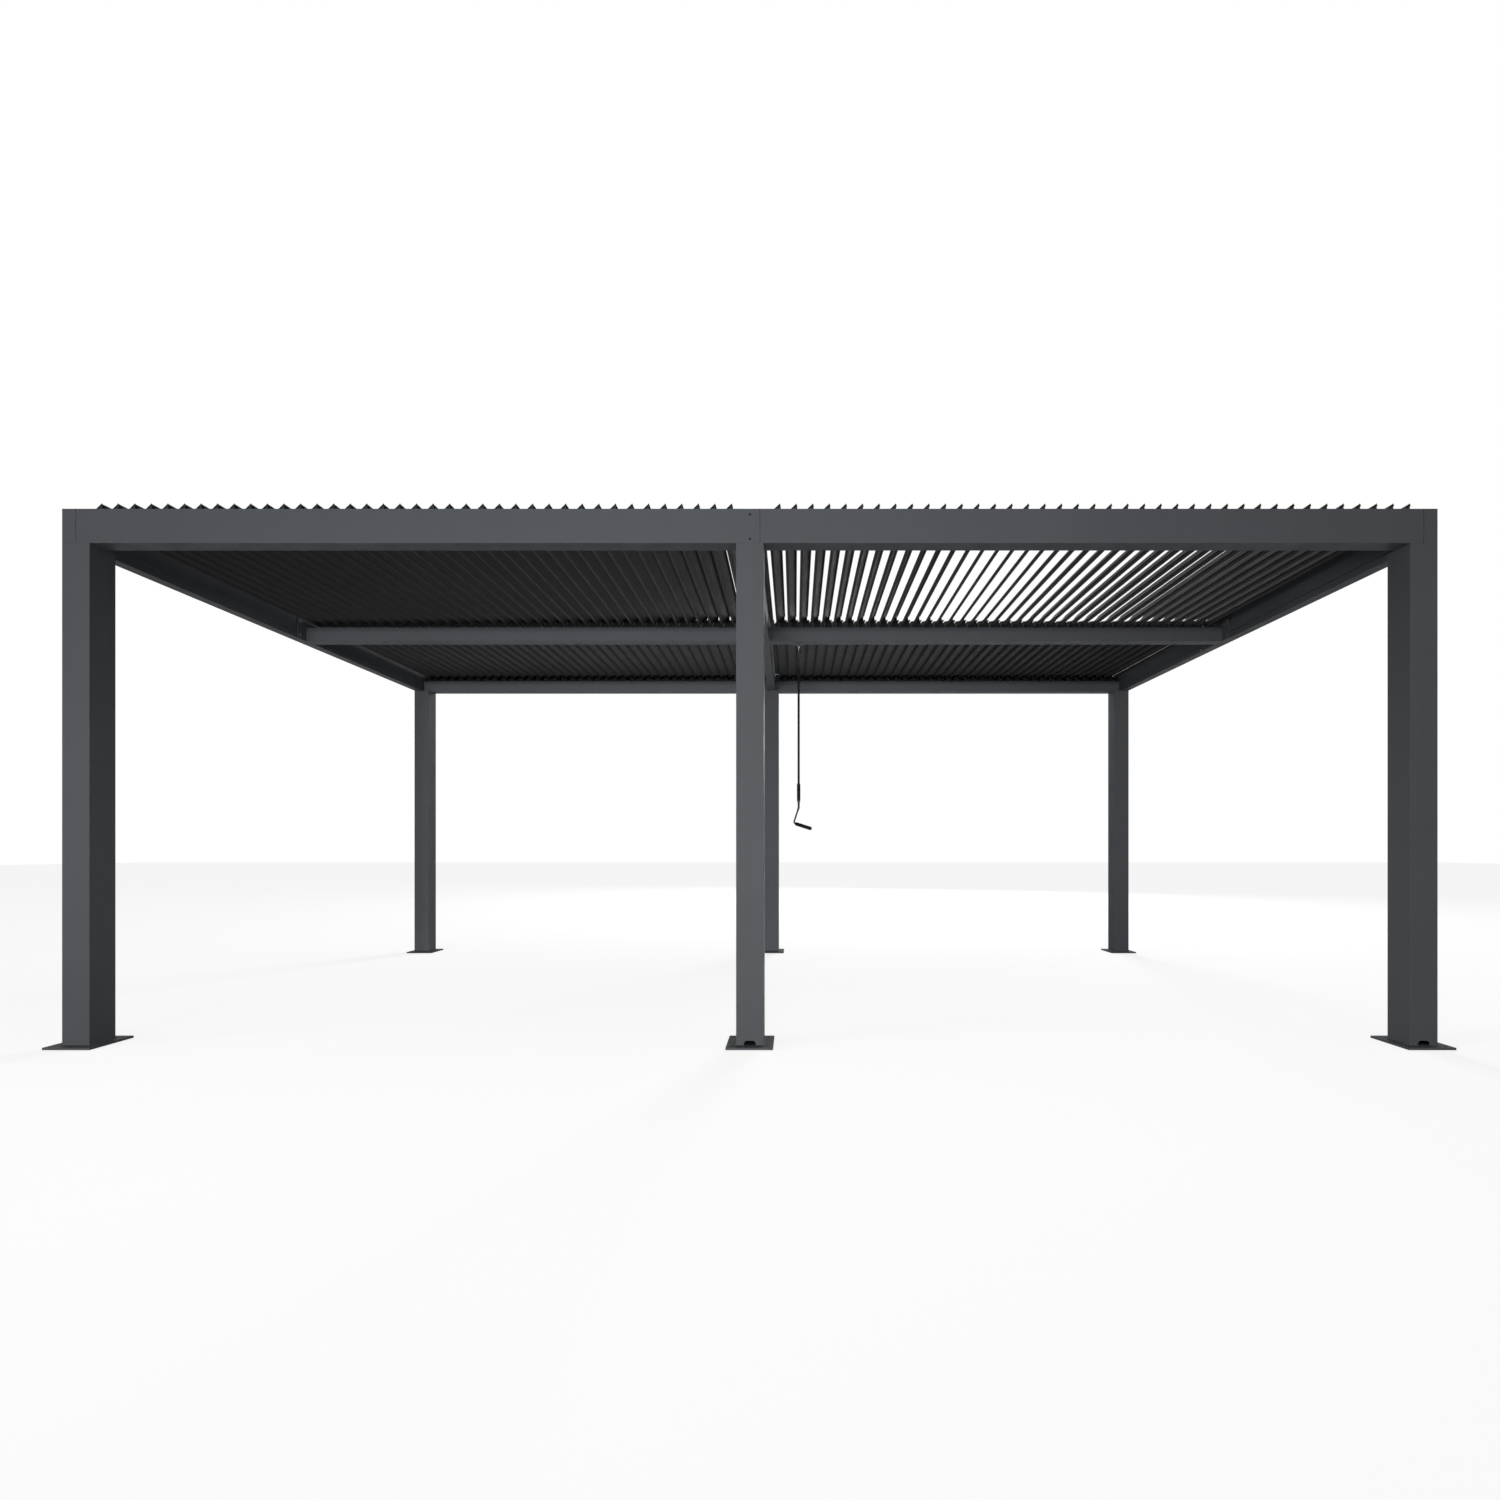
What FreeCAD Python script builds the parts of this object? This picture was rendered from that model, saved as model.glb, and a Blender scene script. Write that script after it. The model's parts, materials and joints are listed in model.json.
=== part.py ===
"""Louvred pergola: six posts, a ring of gutter beams, and four fields of turning blades.

Millimetres. X runs along the front, Y from front to back, Z up. The origin is on the
ground under the middle of the frame. Every size is a cell of the Dimensions sheet.
"""

import FreeCAD, Part

import os
import re

import Sketcher

# Driving dimensions: alias, value in millimetres or degrees, what it measures
DIMENSIONS = (
    ("frame_length", 6000, "outside of the frame along the front"),
    ("frame_depth", 3000, "outside of the frame from front to back"),
    ("clear_height", 2200, "ground to the underside of the beams"),
    ("post_width", 120, "outside of the square post tube"),
    ("post_wall", 3, "wall of the post tube"),
    ("post_head", 4, "plate that closes the top of a post"),
    ("plate_width", 205, "side of the square foot plate"),
    ("plate_thickness", 10, "thickness of the foot plate"),
    ("anchor_spacing", 155, "distance between anchor holes"),
    ("anchor_diameter", 12, "anchor hole"),
    ("drain_width", 51, "width of the drain notch at the plate"),
    ("drain_height", 19, "height of the drain notch"),
    ("drain_corner", 14, "radius of the upper corners of the drain notch"),
    ("beam_height", 150, "height of the outer face of the beams"),
    ("beam_width", 80, "width of the front and back beams"),
    ("beam_wall", 3, "wall of every beam"),
    ("gutter_height", 88, "height of the inner gutter wall and of the mid beams"),
    ("flange_width", 24, "flange on a gutter wall that carries the louvre rail"),
    ("side_beam_width", 60, "width of the side beams"),
    ("groove_height", 35, "underside of a side beam to its groove"),
    ("groove_width", 4, "height of the groove line"),
    ("groove_depth", 1.5, "depth of the groove line"),
    ("centre_beam_width", 60, "width of the beam between the two bays"),
    ("centre_flange", 28, "rain flange along the top of the centre beam, on each side"),
    ("mid_beam_width", 80, "width of the beams across the bays"),
    ("bracket_thickness", 5, "end bracket of a mid beam"),
    ("bracket_width", 236, "end bracket of a mid beam, front to back"),
    ("bracket_height", 138, "end bracket of a mid beam"),
    ("beam_joint_offset", 44, "joint between the two lengths of a long beam, from the middle"),
    ("joint_gap", 0.8, "seam that shows at the ends of the long beams"),
    ("blade_pitch", 72.5, "distance between louvre blades"),
    ("blade_pivot_rise", 54, "gutter flange to the pivot line of the blades"),
    ("blade_sheet", 2, "wall of the blade section"),
    ("blade_gutter_reach", 43.5, "pivot to the lip of a blade's gutter"),
    ("blade_gutter_depth", 16, "underside of a blade to the bottom of its gutter"),
    ("blade_gutter_slope", 12, "run of the sloping side of a blade's gutter"),
    ("blade_gutter_lean", 2.5, "lean of the lip of a blade's gutter"),
    ("blade_hook_reach", 42, "pivot to the hooked edge of a blade"),
    ("blade_hook_depth", 8, "underside of a blade to the end of its hook"),
    ("blade_hook_root", 3.5, "thickness of the hook where it leaves the underside"),
    ("blade_hook_lean", 1.5, "lean of the hook towards the pivot"),
    ("blade_margin", 80, "side beam to the nearest pivot line"),
    ("blade_end_gap", 4, "gap between the blades of a front and a back field"),
    ("blade_overhang", 70, "blade end past the inner gutter wall"),
    ("front_tilt", 51, "opening angle of the front fields, degrees"),
    ("back_tilt", 8, "opening angle of the back fields, degrees"),
    ("rail_depth", 12, "louvre rail on the front and back beams, front to back"),
    ("rail_strip", 8, "height of the strip under the rail teeth"),
    ("tooth_steep", 11, "foot of the steep side of a rail tooth, clear of the turning gutter"),
    ("tooth_slope", 44, "foot of the long side of a rail tooth"),
    ("seat_gap", 0.3, "free play where a loose piece rests on its carrier"),
    ("crank_offset", 221, "crank axis from the middle of the frame"),
    ("gearbox_width", 58, "gearbox, left to right"),
    ("gearbox_depth", 52, "gearbox, front to back"),
    ("gearbox_height", 66, "gearbox, top to bottom"),
    ("gearbox_corner", 8, "radius of the upright edges of the gearbox"),
    ("shaft_width", 14, "square output shaft under the gearbox"),
    ("shaft_length", 12, "output shaft that shows under the gearbox"),
    ("eye_radius", 14, "middle of the crank eye's rim"),
    ("eye_rim", 7, "width of the rim of the crank eye"),
    ("eye_thickness", 5, "thickness of the crank eye"),
    ("hook_bar", 7, "side of the square bar that the hook is bent from"),
    ("hook_radius", 13, "centre line of the hook bend"),
    ("hook_tip", 18, "straight end of the hook past its bend"),
    ("hook_shank", 30, "straight stretch of the hook under its bend"),
    ("hook_jog", 26, "height over which the hook comes back to the rod axis"),
    ("hook_stem", 54, "straight stretch of the hook over the rod"),
    ("rod_diameter", 15, "crank rod"),
    ("collar_width", 18, "six-sided collar under the sleeve, across its flats"),
    ("collar_height", 10, "collar under the sleeve"),
    ("sleeve_rise", 49, "elbow pin to the lower end of the turning sleeve"),
    ("sleeve_length", 112, "turning sleeve on the rod"),
    ("sleeve_diameter", 23, "turning sleeve on the rod"),
    ("sleeve_play", 0.1, "radial play of the sleeve and of the grip"),
    ("elbow_height", 1139, "elbow pin over the ground"),
    ("knuckle_length", 18, "elbow pin to the round part of the rod"),
    ("knuckle_radius", 7.2, "rounded end of the rod and of the fork round the elbow pin"),
    ("knuckle_thickness", 8, "flattened end of the rod, front to back"),
    ("fork_thickness", 3, "ear of the arm beside the knuckle"),
    ("pin_diameter", 6, "elbow pin"),
    ("arm_length", 106, "elbow pin to the grip axis"),
    ("arm_diameter", 11, "crank arm"),
    ("arm_stop", 4, "end of the arm past the grip"),
    ("grip_room", 9, "arm axis to the near end of the grip"),
    ("pin_play", 0.05, "radial play of the elbow pin"),
    ("grip_length", 112, "turning grip"),
    ("grip_diameter", 24, "turning grip"),
    ("hang_angle", 18, "arm from straight down when the crank hangs free, degrees"),
)

# Sizes that follow from the driving ones
DERIVED = (
    ("flange_top", "clear_height + gutter_height"),
    ("bay_width", "frame_length / 2 - side_beam_width - centre_beam_width / 2"),
    ("bay_depth", "frame_depth / 2 - beam_width"),
    ("post_height", "clear_height - plate_thickness"),
    ("post_place_side", "frame_length / 2 - post_width / 2"),
    ("post_place_front", "frame_depth / 2 - post_width / 2"),
    ("blade_pivot", "flange_top + blade_pivot_rise"),
    ("blade_length", "bay_depth - blade_end_gap / 2 + blade_overhang"),
    ("blade_room", "bay_width - blade_margin - blade_gutter_reach - centre_flange"),
    ("blade_count", "floor(blade_room / blade_pitch) + 1"),
    ("blade_span", "(blade_count - 1) * blade_pitch"),
    ("crank_depth", "mid_beam_width / 2 + gearbox_depth / 2"),
    ("shaft_top", "clear_height + gutter_height / 2 - gearbox_height / 2"),
    ("eye_centre", "shaft_top - shaft_length - eye_radius"),
    ("eye_seat", "eye_centre - eye_radius + eye_rim / 2"),
    ("hook_inside", "hook_radius - hook_bar / 2 - seat_gap"),
    ("hook_centre", "eye_seat - sqrt(hook_inside ^ 2 - eye_thickness ^ 2 / 4)"),
    ("hook_foot", "hook_centre - hook_shank - hook_jog"),
    ("rod_top", "hook_foot - hook_stem"),
    ("rod_low", "elbow_height + knuckle_length"),
    ("sleeve_low", "elbow_height + sleeve_rise"),
)

# Below this the cross product of two directions, or a difference in height, counts as none
PARALLEL = 1e-6

document = FreeCAD.newDocument("LouvredPergola")
dimensions = document.addObject("Spreadsheet::Sheet", "Dimensions")
aliases = {row[0] for row in DIMENSIONS} | {row[0] for row in DERIVED}
nodes = {}


def formula(text):
    """Return the text with every sheet alias written as a reference to the sheet."""

    def reference(match):
        word = match.group()
        return f"Dimensions.{word}" if word in aliases else word

    return re.sub(r"[a-z][a-z_]+", reference, str(text))


def value(text):
    """Return the number that a formula of sheet aliases stands for."""
    result = dimensions.evalExpression(formula(text))
    return float(getattr(result, "Value", result))


def bind(thing, formulas):
    """Bind properties of an object to formulas of sheet aliases."""
    for name, text in formulas.items():
        thing.setExpression(name, formula(text))
    return thing


def place(thing, corner):
    """Bind the place of an object to three formulas."""
    return bind(thing, {f"Placement.Base.{axis}": text for axis, text in zip("xyz", corner)})


def node(thing, label):
    """Name a finished sub-part and keep it for the export."""
    thing.Label = label
    nodes[label] = thing
    return thing


# Plain shapes


def box(name, size, corner):
    """Return a box with its size and lowest corner bound to formulas."""
    solid = document.addObject("Part::Box", name)
    bind(solid, dict(zip(("Length", "Width", "Height"), size)))
    return place(solid, corner)


def cylinder(name, radius, height, base, axis=(0, 0, 1)):
    """Return a cylinder that starts at base and runs along axis."""
    solid = document.addObject("Part::Cylinder", name)
    turn = FreeCAD.Rotation(FreeCAD.Vector(0, 0, 1), FreeCAD.Vector(*axis))
    solid.Placement = FreeCAD.Placement(FreeCAD.Vector(), turn)
    bind(solid, {"Radius": radius, "Height": height})
    return place(solid, base)


def cut(name, base, tool):
    """Return base with tool taken out of it."""
    result = document.addObject("Part::Cut", name)
    result.Base = base
    result.Tool = tool
    return result


def fuse(name, *solids):
    """Return several overlapping solids joined into one."""
    result = document.addObject("Part::MultiFuse", name)
    result.Shapes = list(solids)
    return result


def rounded(name, solid, radius, axis, lowest):
    """Return solid with its straight edges along axis rounded, down to the height lowest."""
    result = document.addObject("Part::Fillet", name)
    result.Base = solid
    document.recompute()
    direction = FreeCAD.Vector(*axis)
    size = value(radius)
    chosen = [index for index, edge in enumerate(solid.Shape.Edges, start=1)
              if edge.tangentAt(edge.FirstParameter).cross(direction).Length < PARALLEL
              and edge.BoundBox.ZMin >= value(lowest) - PARALLEL]
    result.Edges = [(index, size, size) for index in chosen]
    return result


# Sketched shapes


def origin_plane(body, role):
    """Return one of the base planes of a body."""
    return next(item for item in body.Origin.OriginFeatures if item.Role == role)


def fix_point(sketch, geometry, spot, number, point):
    """Hold one point of a sketch at two formulas, as the constraints u and v of that number."""
    for kind, axis, text in zip(("DistanceX", "DistanceY"), "uv", point):
        held = sketch.addConstraint(Sketcher.Constraint(kind, -1, 1, geometry, spot, value(text)))
        sketch.renameConstraint(held, f"{axis}{number}")
        sketch.setExpression(f"Constraints.{axis}{number}", formula(text))


def outline(body, name, plane, *loops):
    """Return a sketch with one closed outline for each loop of formula pairs."""
    sketch = body.newObject("Sketcher::SketchObject", name)
    sketch.AttachmentSupport = [(origin_plane(body, plane), "")]
    sketch.MapMode = "FlatFace"
    for points in loops:
        first = sketch.GeometryCount
        corners = [FreeCAD.Vector(value(u), value(v), 0) for u, v in points]
        for start, end in zip(corners, corners[1:] + corners[:1]):
            sketch.addGeometry(Part.LineSegment(start, end))
        lines = list(range(first, first + len(points)))
        for line, following in zip(lines, lines[1:] + lines[:1]):
            sketch.addConstraint(Sketcher.Constraint("Coincident", line, 2, following, 1))
        for line, point in zip(lines, points):
            fix_point(sketch, line, 1, line, point)
    return sketch


def pad(body, sketch, name, length, backwards=False):
    """Pad a sketch of a body to a length given as a formula."""
    feature = body.newObject("PartDesign::Pad", name)
    feature.Profile = sketch
    feature.Reversed = backwards
    sketch.Visibility = False
    bind(feature, {"Length": length})
    body.Tip = feature
    return feature


def repeat(body, sketch, feature, name, span, count):
    """Repeat a feature of a body along the sketch's horizontal axis."""
    pattern = body.newObject("PartDesign::LinearPattern", name)
    pattern.Originals = [feature]
    pattern.Direction = (sketch, ["H_Axis"])
    bind(pattern, {"Length": span, "Occurrences": count})
    body.Tip = pattern
    return pattern


def extrusion(label, plane, loops, length, corner):
    """Return a body padded to the right or to the back, as a finished sub-part."""
    body = document.addObject("PartDesign::Body", label)
    sketch = outline(body, f"{label}_section", plane, *loops)
    pad(body, sketch, f"{label}_pad", length, plane == "XZ_Plane")
    place(body, corner)
    return node(body, label)


# Posts and foot plates


def build_post(name, x_sign, y_sign, drain_side):
    """Build one post tube; drain_side is the sign of the face with the notch, or 0."""
    x_place = f"{x_sign} * post_place_side"
    y_place = f"{y_sign} * post_place_front"
    corner = (f"{x_place} - post_width / 2", f"{y_place} - post_width / 2", "plate_thickness")
    inner = (f"{x_place} - post_width / 2 + post_wall",
             f"{y_place} - post_width / 2 + post_wall", "plate_thickness")
    bore = "post_width - 2 * post_wall"
    outside = box(f"{name}_outside", ("post_width", "post_width", "post_height"), corner)
    inside = box(f"{name}_inside", (bore, bore, "post_height - post_head"), inner)
    post = cut(f"{name}_tube", outside, inside)
    if drain_side:
        wall_middle = f"{y_place} + {drain_side} * (post_width / 2 - post_wall / 2)"
        block = box(f"{name}_notch_block", ("drain_width", "2 * post_wall", "2 * drain_height"),
                    (f"{x_place} - drain_width / 2", f"{wall_middle} - post_wall",
                     "plate_thickness - drain_height"))
        notch = rounded(f"{name}_notch", block, "drain_corner", (0, 1, 0),
                        "plate_thickness + drain_height")
        post = cut(f"{name}_drained", post, notch)
    return node(post, name)


def build_foot_plate(name, x_sign, y_sign):
    """Build one foot plate with its four anchor holes."""
    body = document.addObject("PartDesign::Body", name)
    half = "plate_width / 2"
    square = ((f"-{half}", f"-{half}"), (half, f"-{half}"), (half, half), (f"-{half}", half))
    sketch = outline(body, f"{name}_outline", "XY_Plane", square)
    radius = value("anchor_diameter / 2")
    for across, along in ((-1, -1), (1, -1), (1, 1), (-1, 1)):
        spot = (f"{across} * anchor_spacing / 2", f"{along} * anchor_spacing / 2")
        centre = FreeCAD.Vector(*map(value, spot), 0)
        circle = sketch.addGeometry(Part.Circle(centre, FreeCAD.Vector(0, 0, 1), radius))
        fix_point(sketch, circle, 3, circle, spot)
        held = sketch.addConstraint(Sketcher.Constraint("Radius", circle, radius))
        sketch.renameConstraint(held, f"radius{circle}")
        sketch.setExpression(f"Constraints.radius{circle}", formula("anchor_diameter / 2"))
    pad(body, sketch, f"{name}_pad", "plate_thickness")
    place(body, (f"{x_sign} * post_place_side", f"{y_sign} * post_place_front", "0"))
    return node(body, name)


def build_legs():
    """Build the six posts on their foot plates."""
    rows = (("front", -1), ("back", 1))
    columns = (("left", -1), ("centre", 0), ("right", 1))
    for row, y_sign in rows:
        for column, x_sign in columns:
            drain_side = 0 if column == "left" else y_sign
            build_post(f"post_{row}_{column}", x_sign, y_sign, drain_side)
            build_foot_plate(f"foot_plate_{row}_{column}", x_sign, y_sign)


# Beams


def gutter_section(side):
    """Return the outline of a front or back beam; side is the sign of its outer face.

    The outline starts at the outer lower edge, which is the origin of the section.
    """
    inward = -side
    across = {
        "outer": "0",
        "outer_wall": f"{inward} * beam_wall",
        "flange": f"{inward} * (beam_width - flange_width)",
        "inner_wall": f"{inward} * (beam_width - beam_wall)",
        "inner": f"{inward} * beam_width",
    }
    return (
        (across["outer"], "0"),
        (across["inner"], "0"),
        (across["inner"], "gutter_height"),
        (across["flange"], "gutter_height"),
        (across["flange"], "gutter_height - beam_wall"),
        (across["inner_wall"], "gutter_height - beam_wall"),
        (across["inner_wall"], "beam_wall"),
        (across["outer_wall"], "beam_wall"),
        (across["outer_wall"], "beam_height"),
        (across["outer"], "beam_height"),
    )


def build_gutter_beams():
    """Build the front and back beams, each in two lengths."""
    half = "frame_length / 2 - side_beam_width"
    for row, side in (("front", -1), ("back", 1)):
        y_place = f"{side} * frame_depth / 2"
        extrusion(f"{row}_beam_left", "YZ_Plane", [gutter_section(side)],
                  f"{half} + beam_joint_offset - 1.5 * joint_gap",
                  (f"-({half}) + joint_gap", y_place, "clear_height"))
        extrusion(f"{row}_beam_right", "YZ_Plane", [gutter_section(side)],
                  f"{half} - beam_joint_offset - 1.5 * joint_gap",
                  ("beam_joint_offset + joint_gap / 2", y_place, "clear_height"))


def side_section(side):
    """Return the outline and the hollow of a side beam; side is the sign of its outer face.

    The section starts at the lower edge of the inner face, where the groove is.
    """
    groove_top = "groove_height + groove_width"
    groove = f"{side} * groove_depth"
    wall = f"{side} * beam_wall"
    outer = f"{side} * side_beam_width"
    outer_wall = f"{side} * (side_beam_width - beam_wall)"
    outside = (
        ("0", "0"), (outer, "0"), (outer, "beam_height"), ("0", "beam_height"),
        ("0", groove_top), (groove, groove_top), (groove, "groove_height"), ("0", "groove_height"),
    )
    inside = (
        (wall, "beam_wall"), (outer_wall, "beam_wall"),
        (outer_wall, "beam_height - beam_wall"), (wall, "beam_height - beam_wall"),
    )
    return outside, inside


def build_side_beams():
    """Build the two side beams, closed by caps that show in the front and back faces."""
    for column, side in (("left", -1), ("right", 1)):
        x_inner = f"{side} * (frame_length / 2 - side_beam_width)"
        extrusion(f"side_beam_{column}", "XZ_Plane", side_section(side),
                  "frame_depth - 2 * beam_wall",
                  (x_inner, "-frame_depth / 2 + beam_wall", "clear_height"))
        x_low = x_inner if side > 0 else "-frame_length / 2"
        for row, y_text in (("front", "-frame_depth / 2"), ("back", "frame_depth / 2 - beam_wall")):
            cap = box(f"corner_cap_{row}_{column}", ("side_beam_width", "beam_wall", "beam_height"),
                      (x_low, y_text, "clear_height"))
            node(cap, f"corner_cap_{row}_{column}")


def centre_section():
    """Return the outline and the hollow of the centre beam, with its two rain flanges."""
    half = "centre_beam_width / 2"
    flange = f"({half} + centre_flange)"
    wall = f"({half} - beam_wall)"
    outside = (
        (f"-{half}", "0"), (half, "0"), (half, "beam_height - beam_wall"),
        (flange, "beam_height - beam_wall"), (flange, "beam_height"),
        (f"-{flange}", "beam_height"), (f"-{flange}", "beam_height - beam_wall"),
        (f"-{half}", "beam_height - beam_wall"),
    )
    inside = (
        (f"-{wall}", "beam_wall"), (wall, "beam_wall"),
        (wall, "beam_height - beam_wall"), (f"-{wall}", "beam_height - beam_wall"),
    )
    return outside, inside


def build_centre_beam():
    """Build the beam between the two bays."""
    extrusion("centre_beam", "XZ_Plane", centre_section(), "2 * bay_depth",
              ("0", "-bay_depth", "clear_height"))


def bay_start(side):
    """Return the formula of a bay's left end; side is the sign of the bay."""
    return "centre_beam_width / 2" if side > 0 else "-centre_beam_width / 2 - bay_width"


def mid_section():
    """Return the outline of a mid beam: two gutters and a centre web with a flange."""
    half = "mid_beam_width / 2"
    wall = f"({half} - beam_wall)"
    flange = "flange_width / 2"
    web = "beam_wall / 2"
    top = "gutter_height"
    under_flange = "(gutter_height - beam_wall)"
    right = (
        (half, "0"), (half, top), (wall, top), (wall, "beam_wall"), (web, "beam_wall"),
        (web, under_flange), (flange, under_flange), (flange, top),
    )
    left = tuple((f"-{u}", v) for u, v in reversed(right))
    return right + left


def build_mid_beams():
    """Build the beams across the bays and the brackets at their ends."""
    for column, side in (("left", -1), ("right", 1)):
        start = bay_start(side)
        extrusion(f"mid_beam_{column}", "YZ_Plane", [mid_section()],
                  "bay_width - 2 * bracket_thickness",
                  (f"{start} + bracket_thickness", "0", "clear_height"))
        ends = (("inner", "0"), ("outer", "bay_width - bracket_thickness"))
        if side < 0:
            ends = (("outer", "0"), ("inner", "bay_width - bracket_thickness"))
        for end, shift in ends:
            label = f"mid_bracket_{column}_{end}"
            bracket = box(label, ("bracket_thickness", "bracket_width", "bracket_height"),
                          (f"{start} + {shift}", "-bracket_width / 2", "clear_height"))
            node(bracket, label)


# Louvre rails and blades


def first_pivot(side):
    """Return the formula of the first pivot line from a bay's left end."""
    return "bay_width - blade_margin - blade_span" if side > 0 else "blade_margin"


def build_rail(label, side, y_low, depth, inset="0"):
    """Build one rail: a strip with a pointed tooth under the pivot of each blade.

    The strip stops short of both ends of the bay by inset.
    """
    pivot = first_pivot(side)
    body = document.addObject("PartDesign::Body", label)
    strip = outline(body, f"{label}_strip", "XZ_Plane", (
        (inset, "0"), (f"bay_width - {inset}", "0"),
        (f"bay_width - {inset}", "rail_strip"), (inset, "rail_strip")))
    pad(body, strip, f"{label}_strip_pad", depth, True)
    tooth = outline(body, f"{label}_tooth", "XZ_Plane", (
        (f"{pivot} - tooth_steep", "0"), (f"{pivot} + tooth_slope", "0"),
        (pivot, "blade_pivot_rise - seat_gap")))
    tooth_pad = pad(body, tooth, f"{label}_tooth_pad", depth, True)
    repeat(body, tooth, tooth_pad, f"{label}_teeth", "blade_span", "blade_count")
    place(body, (bay_start(side), y_low, "flange_top"))
    return node(body, label)


def build_rails():
    """Build the three rails of each bay."""
    for column, side in (("left", -1), ("right", 1)):
        build_rail(f"rail_front_{column}", side, "-bay_depth - flange_width / 2 - rail_depth / 2",
                   "rail_depth")
        build_rail(f"rail_middle_{column}", side, "-flange_width / 2", "flange_width",
                   "bracket_thickness")
        build_rail(f"rail_back_{column}", side, "bay_depth + flange_width / 2 - rail_depth / 2",
                   "rail_depth")


def blade_section(tilt):
    """Return the blade outline turned by tilt about the pivot on its underside.

    The gutter edge is on the low side and the hook on the high side, so that each hook
    drops into the next blade's gutter when the field closes. The gutter's inner corner
    stands over its sloping side by the thickness of the sheet.
    """
    bottom = "(-blade_gutter_reach + blade_gutter_lean)"
    rise = "(blade_gutter_depth / blade_gutter_slope)"
    flat = (
        ("-blade_gutter_reach", "0"),
        (bottom, "-blade_gutter_depth"),
        (f"{bottom} + blade_gutter_slope", "0"),
        ("blade_hook_reach - blade_hook_root", "0"),
        ("blade_hook_reach - blade_hook_root - blade_hook_lean", "-blade_hook_depth"),
        ("blade_hook_reach", "blade_sheet"),
        (f"{bottom} + blade_gutter_slope - blade_sheet / 2", "blade_sheet"),
        (f"{bottom} + blade_sheet / 2",
         f"-blade_gutter_depth + blade_sheet * (sqrt(1 + {rise} ^ 2) + {rise} / 2)"),
    )
    cosine = f"cos({tilt} * 1 deg)"
    sine = f"sin({tilt} * 1 deg)"
    return tuple((f"({u}) * {cosine} - ({v}) * {sine}", f"({u}) * {sine} + ({v}) * {cosine}")
                 for u, v in flat)


def build_field(label, side, y_low, tilt):
    """Build one field of blades as separate solids in one node."""
    body = document.addObject("PartDesign::Body", label)
    body.AllowCompound = True
    sketch = outline(body, f"{label}_section", "XZ_Plane", blade_section(tilt))
    blade = pad(body, sketch, f"{label}_blade", "blade_length", True)
    repeat(body, sketch, blade, f"{label}_row", "blade_span", "blade_count")
    place(body, (f"{bay_start(side)} + {first_pivot(side)}", y_low, "blade_pivot"))
    return node(body, label)


def build_louvres():
    """Build the four fields: the front ones stand open, the back ones are nearly shut."""
    for column, side in (("left", -1), ("right", 1)):
        build_field(f"louvres_front_{column}", side, "-bay_depth - blade_overhang", "front_tilt")
        build_field(f"louvres_back_{column}", side, "blade_end_gap / 2", "back_tilt")


# Crank


def build_gearbox():
    """Build the gearbox on the back face of the right mid beam."""
    block = box("gearbox_block", ("gearbox_width", "gearbox_depth", "gearbox_height"),
                ("crank_offset - gearbox_width / 2", "mid_beam_width / 2", "shaft_top"))
    node(rounded("gearbox_rounded", block, "gearbox_corner", (0, 0, 1), "shaft_top"), "gearbox")


def build_crank_eye():
    """Build the square output shaft with the eye that the crank hangs in.

    The eye stands across the hook, so its rim fills the hook's bend.
    """
    shaft = box("eye_shaft", ("shaft_width", "shaft_width", "shaft_length + eye_rim / 2"),
                ("crank_offset - shaft_width / 2", "crank_depth - shaft_width / 2",
                 "shaft_top - shaft_length - eye_rim / 2"))
    start = ("crank_offset - eye_thickness / 2", "crank_depth", "eye_centre")
    disc = cylinder("eye_disc", "eye_radius + eye_rim / 2", "eye_thickness", start, (1, 0, 0))
    hole_start = ("crank_offset - shaft_width / 2", "crank_depth", "eye_centre")
    hole = cylinder("eye_hole", "eye_radius - eye_rim / 2", "shaft_width", hole_start, (1, 0, 0))
    node(cut("eye_bored", fuse("eye_joined", shaft, disc), hole), "crank_eye")


def hook_shape():
    """Return the hook: a square bar that jogs aside, goes up, over and down again."""
    axis = FreeCAD.Vector(value("crank_offset"), value("crank_depth"), 0)
    bend = value("hook_radius")
    centre = value("hook_centre")
    foot = value("hook_foot")
    start = value("rod_top - hook_bar")
    shank_low = value("hook_centre - hook_shank")
    tip_low = value("hook_centre - hook_tip")

    def point(aside, height):
        return axis + FreeCAD.Vector(aside, 0, height)

    edges = [
        Part.LineSegment(point(0, start), point(0, foot)).toShape(),
        Part.LineSegment(point(0, foot), point(-bend, shank_low)).toShape(),
        Part.LineSegment(point(-bend, shank_low), point(-bend, centre)).toShape(),
        Part.Arc(point(-bend, centre), point(0, centre + bend), point(bend, centre)).toShape(),
        Part.LineSegment(point(bend, centre), point(bend, tip_low)).toShape(),
    ]
    half = value("hook_bar / 2")
    corners = [point(0, start) + FreeCAD.Vector(x, y, 0)
               for x, y in ((-half, -half), (half, -half), (half, half), (-half, half), (-half, -half))]
    return Part.Wire(edges).makePipeShell([Part.makePolygon(corners)], True, False, 1)


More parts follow.
